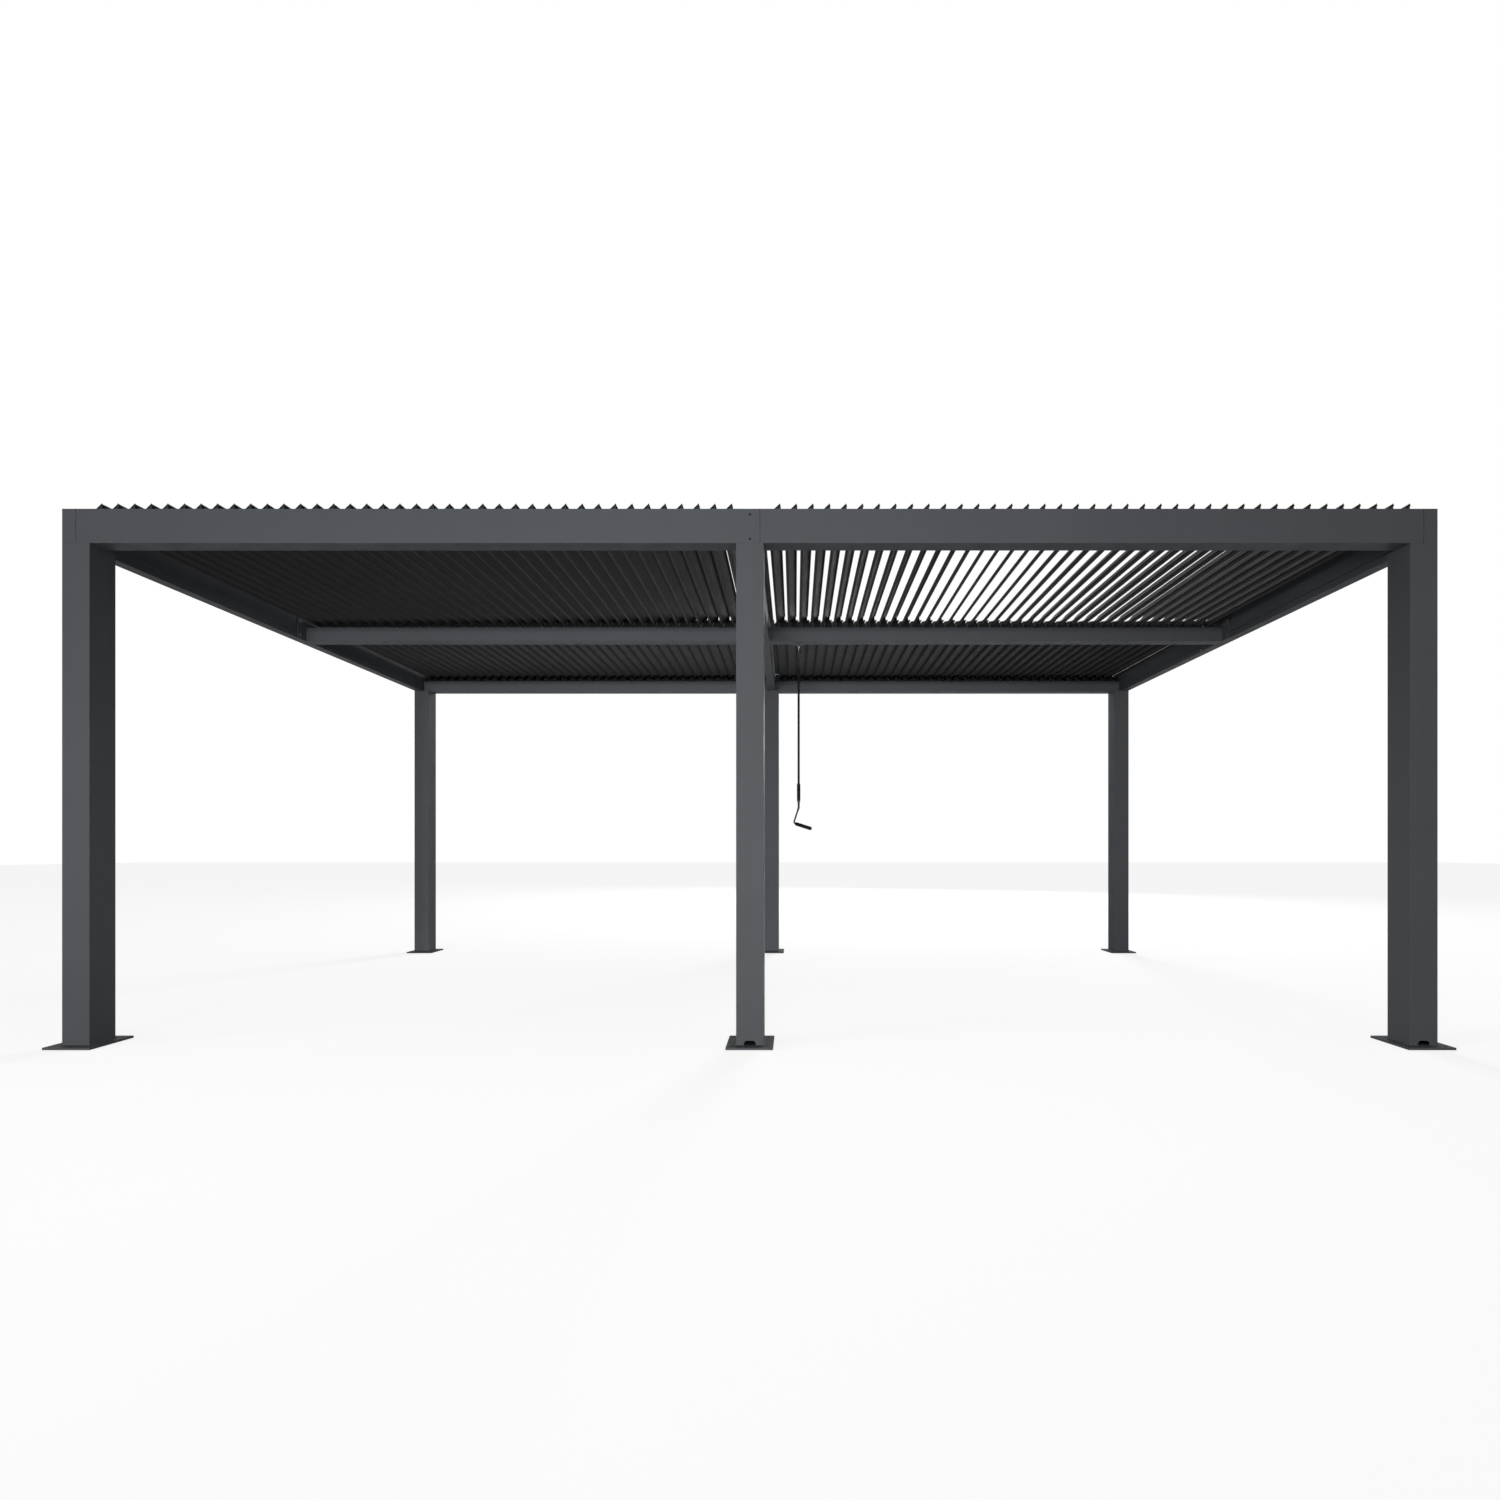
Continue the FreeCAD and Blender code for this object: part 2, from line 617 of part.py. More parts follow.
def build_crank_rod():
    """Build the rod: the hook in the eye, the straight tube and the flattened lower end."""
    hook = document.addObject("Part::Feature", "rod_hook")
    hook.Shape = hook_shape()
    rod = cylinder("rod_tube", "rod_diameter / 2", "rod_top - rod_low",
                   ("crank_offset", "crank_depth", "rod_low"))
    front = "crank_depth - knuckle_thickness / 2"
    flat = box("rod_flat", ("2 * knuckle_radius", "knuckle_thickness",
                            "knuckle_length + knuckle_thickness / 2"),
               ("crank_offset - knuckle_radius", front, "elbow_height"))
    end = cylinder("rod_end", "knuckle_radius", "knuckle_thickness",
                   ("crank_offset", front, "elbow_height"), (0, 1, 0))
    hole = cylinder("rod_pin_hole", "pin_diameter / 2", "2 * knuckle_thickness",
                    ("crank_offset", "crank_depth - knuckle_thickness", "elbow_height"), (0, 1, 0))
    collar = document.addObject("Part::Prism", "rod_collar")
    collar.Polygon = 6
    bind(collar, {"Circumradius": "collar_width / sqrt(3)", "Height": "collar_height"})
    place(collar, ("crank_offset", "crank_depth", "sleeve_low - seat_gap - collar_height"))
    joined = fuse("rod_joined", hook, rod, flat, end, collar)
    node(cut("rod_drilled", joined, hole), "crank_rod")


def build_sleeve():
    """Build the sleeve that turns on the rod."""
    base = ("crank_offset", "crank_depth", "sleeve_low")
    outside = cylinder("sleeve_outside", "sleeve_diameter / 2", "sleeve_length", base)
    bore = cylinder("sleeve_bore", "rod_diameter / 2 + sleeve_play", "sleeve_length", base)
    node(cut("sleeve_shell", outside, bore), "rod_sleeve")


def mitred_bar(radius, points):
    """Return a round bar along straight runs that meet in mitred corners."""
    edges = [Part.LineSegment(first, last).toShape() for first, last in zip(points, points[1:])]
    section = Part.Wire(Part.makeCircle(radius, points[0], points[1] - points[0]))
    return Part.Wire(edges).makePipeShell([section], True, False, 1)


def build_arm():
    """Build the arm with its fork and pin, and the grip that turns on its bent end.

    Both are drawn with the arm straight down under the elbow and then turned by the
    angle at which they hang.
    """
    elbow = FreeCAD.Vector(value("crank_offset"), value("crank_depth"), value("elbow_height"))
    swing = FreeCAD.Rotation(FreeCAD.Vector(0, 1, 0), value("hang_angle"))
    frame = FreeCAD.Placement(elbow, swing)
    across = FreeCAD.Vector(0, 1, 0)
    along = FreeCAD.Vector(1, 0, 0)
    ear = value("fork_thickness")
    inner = value("knuckle_thickness / 2 + seat_gap")
    outer = inner + ear
    ear_radius = value("knuckle_radius")
    neck = value("knuckle_length")
    bar_radius = value("arm_diameter / 2")
    arm_length = value("arm_length")
    grip_start = value("grip_room")
    grip_length = value("grip_length")
    stop = value("arm_stop")
    pieces = []
    for low in (-outer, inner):
        plate = Part.makeBox(2 * ear_radius, ear, neck, FreeCAD.Vector(-ear_radius, low, -neck))
        head = Part.makeCylinder(ear_radius, ear, FreeCAD.Vector(0, low, 0), across)
        pieces.append(plate.fuse(head).removeSplitter())
    pieces.append(Part.makeCylinder(value("pin_diameter / 2 - pin_play"), 2 * outer,
                                    FreeCAD.Vector(0, -outer, 0), across))
    bridge = FreeCAD.Vector(-ear_radius, -outer, -neck)
    pieces.append(Part.makeBox(2 * ear_radius, 2 * outer, ear, bridge))
    bar = mitred_bar(bar_radius, (
        FreeCAD.Vector(0, 0, ear / 2 - neck), FreeCAD.Vector(0, 0, -arm_length),
        FreeCAD.Vector(grip_start + grip_length + stop, 0, -arm_length)))
    arm = document.addObject("Part::Feature", "crank_arm_shape")
    arm.Shape = bar.fuse(pieces).removeSplitter()
    arm.Placement = frame
    node(arm, "crank_arm")

    start = FreeCAD.Vector(grip_start, 0, -arm_length)
    outside = Part.makeCylinder(value("grip_diameter / 2"), grip_length, start, along)
    bore = Part.makeCylinder(bar_radius + value("sleeve_play"), grip_length, start, along)
    grip = document.addObject("Part::Feature", "crank_grip_shape")
    grip.Shape = outside.cut(bore)
    grip.Placement = frame
    node(grip, "crank_grip")


# Sheet, assembly and export


def build_sheet():
    """Write the driving dimensions and the sizes that follow from them."""
    rows = [(alias, str(number), note) for alias, number, note in DIMENSIONS]
    rows += [(alias, f"={text}", "follows from the sizes above") for alias, text in DERIVED]
    for index, (alias, content, note) in enumerate(rows, start=1):
        dimensions.set(f"A{index}", alias)
        dimensions.set(f"B{index}", content)
        dimensions.set(f"C{index}", note)
        dimensions.setAlias(f"B{index}", alias)
    document.recompute()


def check_objects():
    """Stop if an object of the document failed or a sub-part has no valid solid."""
    for item in document.Objects:
        if "Invalid" in item.State or "Error" in item.State:
            raise RuntimeError(f"{item.Label} failed: {item.State}")
    for label, thing in nodes.items():
        if thing.Shape.isNull() or not thing.Shape.isValid() or not thing.Shape.Solids:
            raise RuntimeError(f"{label} has no valid solid")


def export_nodes():
    """Write one STEP file for each sub-part."""
    os.makedirs("parts", exist_ok=True)
    for label, thing in nodes.items():
        thing.Shape.exportStep(os.path.join("parts", f"{label}.step"))


build_sheet()
build_legs()
build_gutter_beams()
build_side_beams()
build_centre_beam()
build_mid_beams()
build_rails()
build_louvres()
build_gearbox()
build_crank_eye()
build_crank_rod()
build_sleeve()
build_arm()
document.recompute()
check_objects()
export_nodes()
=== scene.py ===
"""Louvred pergola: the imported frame, dressed with its fittings and finishes.

Metres. X runs along the front, Y from front to back, Z up, and the origin is on the
ground under the middle of the frame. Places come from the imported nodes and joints.
"""

from __future__ import annotations

import json
import logging
import math
from dataclasses import dataclass, field
from enum import Enum
from typing import Sequence

import bmesh
import bpy
from mathutils import Matrix, Vector

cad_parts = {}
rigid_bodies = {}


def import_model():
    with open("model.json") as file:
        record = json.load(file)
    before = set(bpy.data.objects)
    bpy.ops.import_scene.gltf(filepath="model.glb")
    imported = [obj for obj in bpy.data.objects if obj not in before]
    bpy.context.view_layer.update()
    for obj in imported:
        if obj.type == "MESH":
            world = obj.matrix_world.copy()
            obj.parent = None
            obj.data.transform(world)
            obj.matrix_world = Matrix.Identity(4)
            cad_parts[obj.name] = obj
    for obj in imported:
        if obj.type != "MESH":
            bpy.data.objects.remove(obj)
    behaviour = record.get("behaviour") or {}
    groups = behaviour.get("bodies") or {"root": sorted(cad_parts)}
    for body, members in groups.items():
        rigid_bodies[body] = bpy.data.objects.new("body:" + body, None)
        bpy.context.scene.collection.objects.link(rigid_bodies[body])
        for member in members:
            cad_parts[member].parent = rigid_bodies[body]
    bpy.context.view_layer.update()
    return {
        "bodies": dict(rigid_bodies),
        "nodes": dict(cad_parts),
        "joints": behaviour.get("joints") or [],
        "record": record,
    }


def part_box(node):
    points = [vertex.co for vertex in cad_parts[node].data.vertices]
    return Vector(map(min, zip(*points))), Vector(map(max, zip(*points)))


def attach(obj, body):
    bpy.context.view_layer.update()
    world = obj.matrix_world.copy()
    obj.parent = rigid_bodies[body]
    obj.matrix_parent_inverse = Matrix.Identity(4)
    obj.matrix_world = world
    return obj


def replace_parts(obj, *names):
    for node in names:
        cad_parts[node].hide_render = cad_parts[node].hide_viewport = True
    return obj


LOG = logging.getLogger("pergola")
SHARP_ANGLE = math.radians(35.0)
EASED_ANGLE = math.radians(40.0)
OVERLAP = 0.0005
GREY = (0.1, 0.1, 0.1, 1.0)
WHITE = (1.0, 1.0, 1.0, 1.0)
UP = Vector((0.0, 0.0, 1.0))

Pair = tuple[float, float]
Colour = tuple[float, float, float]
Point = tuple[float, float, float]
Socket = bpy.types.NodeSocket
Tree = bpy.types.NodeTree
Outputs = bpy.types.bpy_prop_collection


class Body(Enum):
    """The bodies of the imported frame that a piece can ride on."""

    PERGOLA = "pergola"
    CRANK = "crank"
    SLEEVE = "sleeve"
    ARM = "arm"
    GRIP = "grip"


class Slot(Enum):
    """The material slots of the record."""

    FRAME = "frame_finish"
    BLADE = "blade_finish"
    RAIL = "rail_plastic"
    GEARBOX = "gearbox_plastic"
    STEEL = "crank_steel"
    PAINT = "crank_paint"
    GRIP = "grip_plastic"


class Facing(Enum):
    """The way a fitting looks out, as the direction of its own Z axis."""

    LEFT = (-1.0, 0.0, 0.0)
    RIGHT = (1.0, 0.0, 0.0)
    FRONT = (0.0, -1.0, 0.0)
    BACK = (0.0, 1.0, 0.0)
    UP = (0.0, 0.0, 1.0)
    DOWN = (0.0, 0.0, -1.0)

    def at(self, x: float, y: float, z: float) -> Matrix:
        """Return the place of a fitting that looks out this way from a point."""
        turn = UP.rotation_difference(Vector(self.value))
        return Matrix.Translation((x, y, z)) @ turn.to_matrix().to_4x4()


@dataclass(frozen=True)
class Extent:
    """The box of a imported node."""

    low: Vector
    high: Vector

    @classmethod
    def of(cls, node: str) -> Extent:
        """Return the box of the named node."""
        low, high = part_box(node)
        return cls(Vector(low), Vector(high))

    @property
    def middle(self) -> Vector:
        """Return the middle of the box."""
        return (self.low + self.high) / 2

    @property
    def size(self) -> Vector:
        """Return the size of the box."""
        return self.high - self.low


# Shader nodes


class NodeDesk:
    """A node tree with short ways to add nodes and join them."""

    def __init__(self, tree: Tree) -> None:
        """Work on the given tree."""
        self.tree = tree

    def feed(self, node: bpy.types.Node, values: dict[str | int, object]) -> None:
        """Set inputs of a node.

        Args:
            node: The node.
            values: For each input, a number, a colour or a socket to link from.
        """
        for socket, given in values.items():
            if isinstance(given, Socket):
                self.tree.links.new(given, node.inputs[socket])
            else:
                node.inputs[socket].default_value = given

    def add(self, kind: str, values: dict[str | int, object] | None = None,
            **settings: object) -> Outputs:
        """Add a node.

        Args:
            kind: The node's type, after the word ShaderNode.
            values: Its inputs, as feed takes them.
            **settings: For the node's own properties.

        Returns:
            Its outputs.
        """
        node = self.tree.nodes.new(f"ShaderNode{kind}")
        for name, setting in settings.items():
            setattr(node, name, setting)
        self.feed(node, values or {})
        return node.outputs

    def effect(self, group: Tree, **values: object) -> Outputs:
        """Place a shared effect with its own values and return its outputs."""
        return self.add("Group", values, node_tree=group)

    def math(self, operation: str, first: object, second: object) -> Socket:
        """Add a sum of two numbers or sockets and return its result."""
        return self.add("Math", {0: first, 1: second}, operation=operation)[0]

    def stretch(self, source: Socket, low: object, high: object,
                start: float = 0.0, end: float = 1.0) -> Socket:
        """Map a number from start..end onto low..high and keep it inside."""
        return self.add("MapRange", {"Value": source, "From Min": start, "From Max": end,
                                     "To Min": low, "To Max": high}, clamp=True)["Result"]

    def around(self, source: Socket, middle: object, spread: object, span: Pair) -> Socket:
        """Map a number from a span onto an equal spread to both sides of a middle."""
        ends = (self.math(operation, middle, spread) for operation in ("SUBTRACT", "ADD"))
        return self.stretch(source, *ends, *span)

    def scaled(self, colour: object, factor: object) -> Socket:
        """Multiply a colour by a number and return the result."""
        return self.add("VectorMath", {0: colour, "Scale": factor}, operation="SCALE")["Vector"]

    def blended(self, factor: object, first: object, second: object) -> Socket:
        """Lay the second colour over the first by a factor and return the result."""
        return self.add("Mix", {0: factor, 6: first, 7: second}, data_type="RGBA")[2]

    def noise(self, scale: object, detail: float, place: Socket | None = None) -> Socket:
        """Add a noise texture, on the piece unless a place is given, and return its value."""
        values = {"Vector": place or self.place(), "Scale": scale, "Detail": detail}
        return self.add("TexNoise", values)["Fac"]

    def upright(self, source: Socket) -> Socket:
        """Return the Z of a vector."""
        return self.add("SeparateXYZ", {0: source})["Z"]

    def place(self) -> Socket:
        """Return the place on the piece, which moves with it."""
        return self.add("TexCoord")["Object"]


class ShaderGroup(NodeDesk):
    """A shader node group with named inputs and outputs."""

    def __init__(self, name: str, inputs: dict[str, object],
                 outputs: Sequence[str] = ("Colour",)) -> None:
        """Make an empty group.

        Args:
            name: The group's name.
            inputs: A default for each input; four numbers make it a colour.
            outputs: The name of each output; all but Colour are numbers.
        """
        super().__init__(bpy.data.node_groups.new(name, "ShaderNodeTree"))
        for title, default in inputs.items():
            kind = "NodeSocketFloat" if isinstance(default, float) else "NodeSocketColor"
            socket = self.tree.interface.new_socket(title, in_out="INPUT", socket_type=kind)
            socket.default_value = default
        for title in outputs:
            kind = "NodeSocketColor" if title == "Colour" else "NodeSocketFloat"
            self.tree.interface.new_socket(title, in_out="OUTPUT", socket_type=kind)
        self.given = self.tree.nodes.new("NodeGroupInput").outputs
        self.results = self.tree.nodes.new("NodeGroupOutput")

    def give(self, **results: Socket) -> Tree:
        """Send sockets to the named outputs and return the finished tree."""
        self.feed(self.results, results)
        return self.tree

    def tint(self, factor: Socket) -> Tree:
        """Put out the given colour multiplied by a factor and return the finished tree."""
        return self.give(Colour=self.scaled(self.given["Colour"], factor))


class SurfaceEffects:
    """The effects that several finishes share, each built once as a node group.

    A size is a noise's scale and detail, and a noise the span of its values that is used.
    """

    usual_noise: Pair = (0.3, 0.7)
    broad_share: float = 0.02
    streak_noise: Pair = (0.35, 0.65)
    streak_squeeze: Point = (26.0, 26.0, 0.7)
    # The next four values shape the painted edge highlight, a paler line where light catches an
    # edge, and the noise that breaks it up.
    edge_angles: Pair = (0.75, 0.98)
    highlight_breakup_size: Pair = (90.0, 3.0)
    highlight_breakup_noise: Pair = (0.35, 0.6)
    highlight_breakup_least: float = 0.4
    dust_slope: Pair = (0.55, 1.0)
    dust_size: Pair = (14.0, 5.0)
    dust_noise: Pair = (0.35, 0.7)
    dust_least: float = 0.3

    def __init__(self) -> None:
        """Build every group."""
        self.tone = self._tone()
        self.grain = self._grain()
        self.streaks = self._streaks()
        # edges holds the painted edge highlight.
        self.edges = self._edges()
        self.dust = self._dust()

    def _tone(self) -> Tree:
        """Build broad, faint changes of tone over a surface."""
        group = ShaderGroup("coat_tone", {"Colour": GREY, "Spread": 0.05, "Scale": 2.0})
        cloud = group.noise(group.given["Scale"], 3.0)
        return group.tint(group.around(cloud, 1.0, group.given["Spread"], self.usual_noise))

    def _grain(self) -> Tree:
        """Build the fine skin of a sprayed or moulded surface: its height, and a gloss mask."""
        group = ShaderGroup("skin_grain", {"Scale": 600.0, "Roughness": 0.5, "Spread": 0.05},
                            ("Height", "Roughness"))
        fine = group.noise(group.given["Scale"], 2.0)
        broad = group.noise(group.math("MULTIPLY", group.given["Scale"], self.broad_share), 2.0)
        gloss = group.around(broad, group.given["Roughness"], group.given["Spread"],
                             self.usual_noise)
        return group.give(Height=fine, Roughness=gloss)

    def _streaks(self) -> Tree:
        """Build faint upright marks that rain leaves on a coated face."""
        group = ShaderGroup("rain_streaks", {"Colour": GREY, "Depth": 0.04})
        squeezed = group.add("Mapping", {"Vector": group.place(), "Scale": self.streak_squeeze})
        marks = group.noise(1.0, 4.0, squeezed["Vector"])
        return group.tint(group.around(marks, 1.0, group.given["Depth"], self.streak_noise))

    def _edges(self) -> Tree:
        """Build a painted highlight: a paler line along edges where light catches them, broken up
        by noise.
        """
        group = ShaderGroup("thin_edges", {"Colour": GREY, "Radius": 0.0015, "Lift": 0.4})
        eased = group.add("Bevel", {"Radius": group.given["Radius"]}, samples=4)["Normal"]
        face = group.add("NewGeometry")["Normal"]
        angle = group.add("VectorMath", {0: eased, 1: face}, operation="DOT_PRODUCT")["Value"]
        mask = group.stretch(angle, 1.0, 0.0, *self.edge_angles)
        # Noise breaks the painted highlight up along the edge.
        highlight_breakup = group.stretch(group.noise(*self.highlight_breakup_size), self.highlight_breakup_least, 1.0,
                              *self.highlight_breakup_noise)
        lift = group.math("MULTIPLY", group.math("MULTIPLY", mask, highlight_breakup), group.given["Lift"])
        return group.tint(group.math("ADD", 1.0, lift))

    def _dust(self) -> Tree:
        """Build the dust that settles on faces that look up."""
        group = ShaderGroup("settled_dust", {"Colour": GREY, "Dust": (0.3, 0.29, 0.27, 1.0),
                                             "Amount": 0.1})
        upward = group.upright(group.add("NewGeometry")["Normal"])
        level = group.stretch(upward, 0.0, 1.0, *self.dust_slope)
        patches = group.stretch(group.noise(*self.dust_size), self.dust_least, 1.0,
                                *self.dust_noise)
        mask = group.math("MULTIPLY", group.math("MULTIPLY", level, patches),
                          group.given["Amount"])
        return group.give(Colour=group.blended(mask, group.given["Colour"], group.given["Dust"]))


@dataclass(frozen=True)
class Finish:
    """A material with one Principled shader: a colour with changes of tone, and a fine grain."""

    name: str
    colour: Colour
    roughness: float = 0.55
    specular: float = 0.25
    metallic: float = 0.0
    tone_spread: float = 0.06
    tone_scale: float = 9.0
    gloss_spread: float = 0.06
    grain_scale: float = 1400.0
    grain_depth: float = 0.00006

    def ground(self, desk: NodeDesk) -> object:
        """Return the colour under every effect, or a socket that gives it."""
        return (*self.colour, 1.0)

    def layers(self, effects: SurfaceEffects) -> list[tuple[Tree, dict[str, float]]]:
        """Return the effects over the colour, each with its own values; here there are none."""
        return []

    def make(self, effects: SurfaceEffects) -> bpy.types.Material:
        """Build the material.

        Args:
            effects: The shared effects.

        Returns:
            The new material.
        """
        material = bpy.data.materials.new(self.name)
        material.use_nodes = True
        desk = NodeDesk(material.node_tree)
        tone = desk.effect(effects.tone, Colour=self.ground(desk), Spread=self.tone_spread,
                           Scale=self.tone_scale)
        colour = tone["Colour"]
        for group, values in self.layers(effects):
            colour = desk.effect(group, Colour=colour, **values)["Colour"]
        grain = desk.effect(effects.grain, Scale=self.grain_scale, Roughness=self.roughness,
                            Spread=self.gloss_spread)
        relief = desk.add("Bump", {"Strength": 1.0, "Distance": self.grain_depth,
                                   "Height": grain["Height"]})
        desk.feed(material.node_tree.nodes["Principled BSDF"], {
            "Base Color": colour, "Metallic": self.metallic, "Normal": relief["Normal"],
            "Specular IOR Level": self.specular, "Roughness": grain["Roughness"]})
        return material


@dataclass(frozen=True)
class PowderCoat(Finish):
    """Textured powder coat on aluminium, with rain marks, a painted edge highlight and dust."""

    roughness: float = 0.56
    specular: float = 0.06
    tone_spread: float = 0.035
    tone_scale: float = 1.7
    gloss_spread: float = 0.05
    grain_scale: float = 520.0
    grain_depth: float = 0.00012
    streak_depth: float = 0.01
    # The edge values set the painted edge highlight: paler colour where light catches an edge.
    edge_radius: float = 0.0015
    edge_lift: float = 0.35
    dust: float = 0.1

    def layers(self, effects: SurfaceEffects) -> list[tuple[Tree, dict[str, float]]]:
        """Return rain marks, the painted edge highlight and dust."""
        return [(effects.streaks, {"Depth": self.streak_depth}),
                (effects.edges, {"Radius": self.edge_radius, "Lift": self.edge_lift}),
                (effects.dust, {"Amount": self.dust})]


@dataclass(frozen=True)
class MouldedPlastic(Finish):
    """Injection-moulded plastic under a little dust."""

    dust: float = 0.12

    def layers(self, effects: SurfaceEffects) -> list[tuple[Tree, dict[str, float]]]:
        """Return the dust."""
        return [(effects.dust, {"Amount": self.dust})]


@dataclass(frozen=True)
class PlatedSteel(Finish):
    """Zinc-plated steel with cloudy plating."""

    roughness: float = 0.42
    specular: float = 0.5
    metallic: float = 1.0
    tone_spread: float = 0.12
    tone_scale: float = 60.0
    gloss_spread: float = 0.1
    grain_scale: float = 1800.0
    grain_depth: float = 0.00004


@dataclass(frozen=True)
class RodPaint(Finish):
    """Black paint on the crank rod, with the bare grey steel that shows under the sleeve."""

    bare: Colour = (0.045, 0.045, 0.045)
    bare_top: float = 0.0
    fade: float = 0.0005
    roughness: float = 0.4
    specular: float = 0.08
    tone_spread: float = 0.08
    tone_scale: float = 40.0
    grain_scale: float = 1200.0
    grain_depth: float = 0.00005
    # The edge values set the painted edge highlight on the rod: paler colour where light catches
    # an edge.
    edge_radius: float = 0.0008
    edge_lift: float = 0.8

    def ground(self, desk: NodeDesk) -> Socket:
        """Return the paint's colour, and below the sleeve the steel's."""
        lower = desk.stretch(desk.upright(desk.place()), 1.0, 0.0,
                             self.bare_top - self.fade, self.bare_top + self.fade)
        return desk.blended(lower, (*self.colour, 1.0), (*self.bare, 1.0))

    def layers(self, effects: SurfaceEffects) -> list[tuple[Tree, dict[str, float]]]:
        """Return the painted edge highlight."""
        return [(effects.edges, {"Radius": self.edge_radius, "Lift": self.edge_lift})]


class Finishes:
    """Every material of the pergola, by the record's slot."""

    def __init__(self, sleeve_foot: float) -> None:
        """Build the materials.

        Args:
            sleeve_foot: Height of the lower end of the sleeve on the crank rod.
        """
        effects = SurfaceEffects()
        kinds = {
            Slot.FRAME: PowderCoat("anthracite_coat", (0.094, 0.100, 0.108)),
            Slot.BLADE: PowderCoat("anthracite_blade_coat", (0.090, 0.091, 0.094), roughness=0.52,
                                   specular=0.015, streak_depth=0.0, dust=0.06),
            Slot.RAIL: MouldedPlastic("black_rail_plastic", (0.010, 0.010, 0.011)),
            Slot.GEARBOX: MouldedPlastic("black_housing_plastic", (0.016, 0.016, 0.017)),
            Slot.STEEL: PlatedSteel("zinc_plate", (0.20, 0.20, 0.20)),
            Slot.PAINT: RodPaint("rod_paint", (0.008, 0.008, 0.009), bare_top=sleeve_foot),
            Slot.GRIP: MouldedPlastic("glossy_grip_plastic", (0.003, 0.003, 0.003),
                                      roughness=0.3, specular=0.08, dust=0.0),
        }
        self.by_slot = {slot: kind.make(effects) for slot, kind in kinds.items()}

    def of(self, slot: Slot) -> bpy.types.Material:
        """Return the material of a slot."""
        return self.by_slot[slot]


# Making pieces


def section_at(x: float, y: float, z: float) -> Matrix:
    """Return an upright plane at a point: X to the right, Y up and Z to the back."""
    return Matrix(((1, 0, 0, x), (0, 0, 1, y), (0, 1, 0, z), (0, 0, 0, 1)))


def rectangle(low: float, high: float, foot: float, top: float) -> tuple[Pair, ...]:
    """Return the corners of a rectangle from its ends in X and Y."""
    return (low, foot), (high, foot), (high, top), (low, top)


def stretched(shape: Sequence[Pair], width: float, height: float, foot: float = 0.0) -> list[Pair]:
    """Return a shape of fractions at its real width and height, from a foot upward."""
    return [(width * out, foot + height * up) for out, up in shape]


def rounded_outline(width: float, height: float, radius: float, steps: int = 5) -> list[Pair]:
    """Return the corners of a rectangle with rounded corners about the origin.

    Args:
        width: Size along X.
        height: Size along Y.
        radius: Radius of its corners.
        steps: Number of flats in each corner.

    Returns:
        Its corners in order.
    """
    points = []
    for quarter, (x_sign, y_sign) in enumerate(((1, 1), (-1, 1), (-1, -1), (1, -1))):
        x_centre = x_sign * (width / 2 - radius)
        y_centre = y_sign * (height / 2 - radius)
        for step in range(steps + 1):
            angle = math.pi / 2 * (quarter + step / steps)
            points.append((x_centre + radius * math.cos(angle),
                           y_centre + radius * math.sin(angle)))
    return points


def ease_edges(piece: bpy.types.Object, width: float) -> None:
    """Round the sharp edges of an object a little, as real edges are.

    Args:
        piece: The object.
        width: How wide the rounding is.
    """
    bevel = piece.modifiers.new("eased_edges", "BEVEL")
    bevel.width = width
    bevel.segments = 2
    bevel.limit_method = "ANGLE"
    bevel.angle_limit = EASED_ANGLE
    flat = piece.modifiers.new("flat_faces", "WEIGHTED_NORMAL")
    flat.mode = "FACE_AREA"
    flat.keep_sharp = True


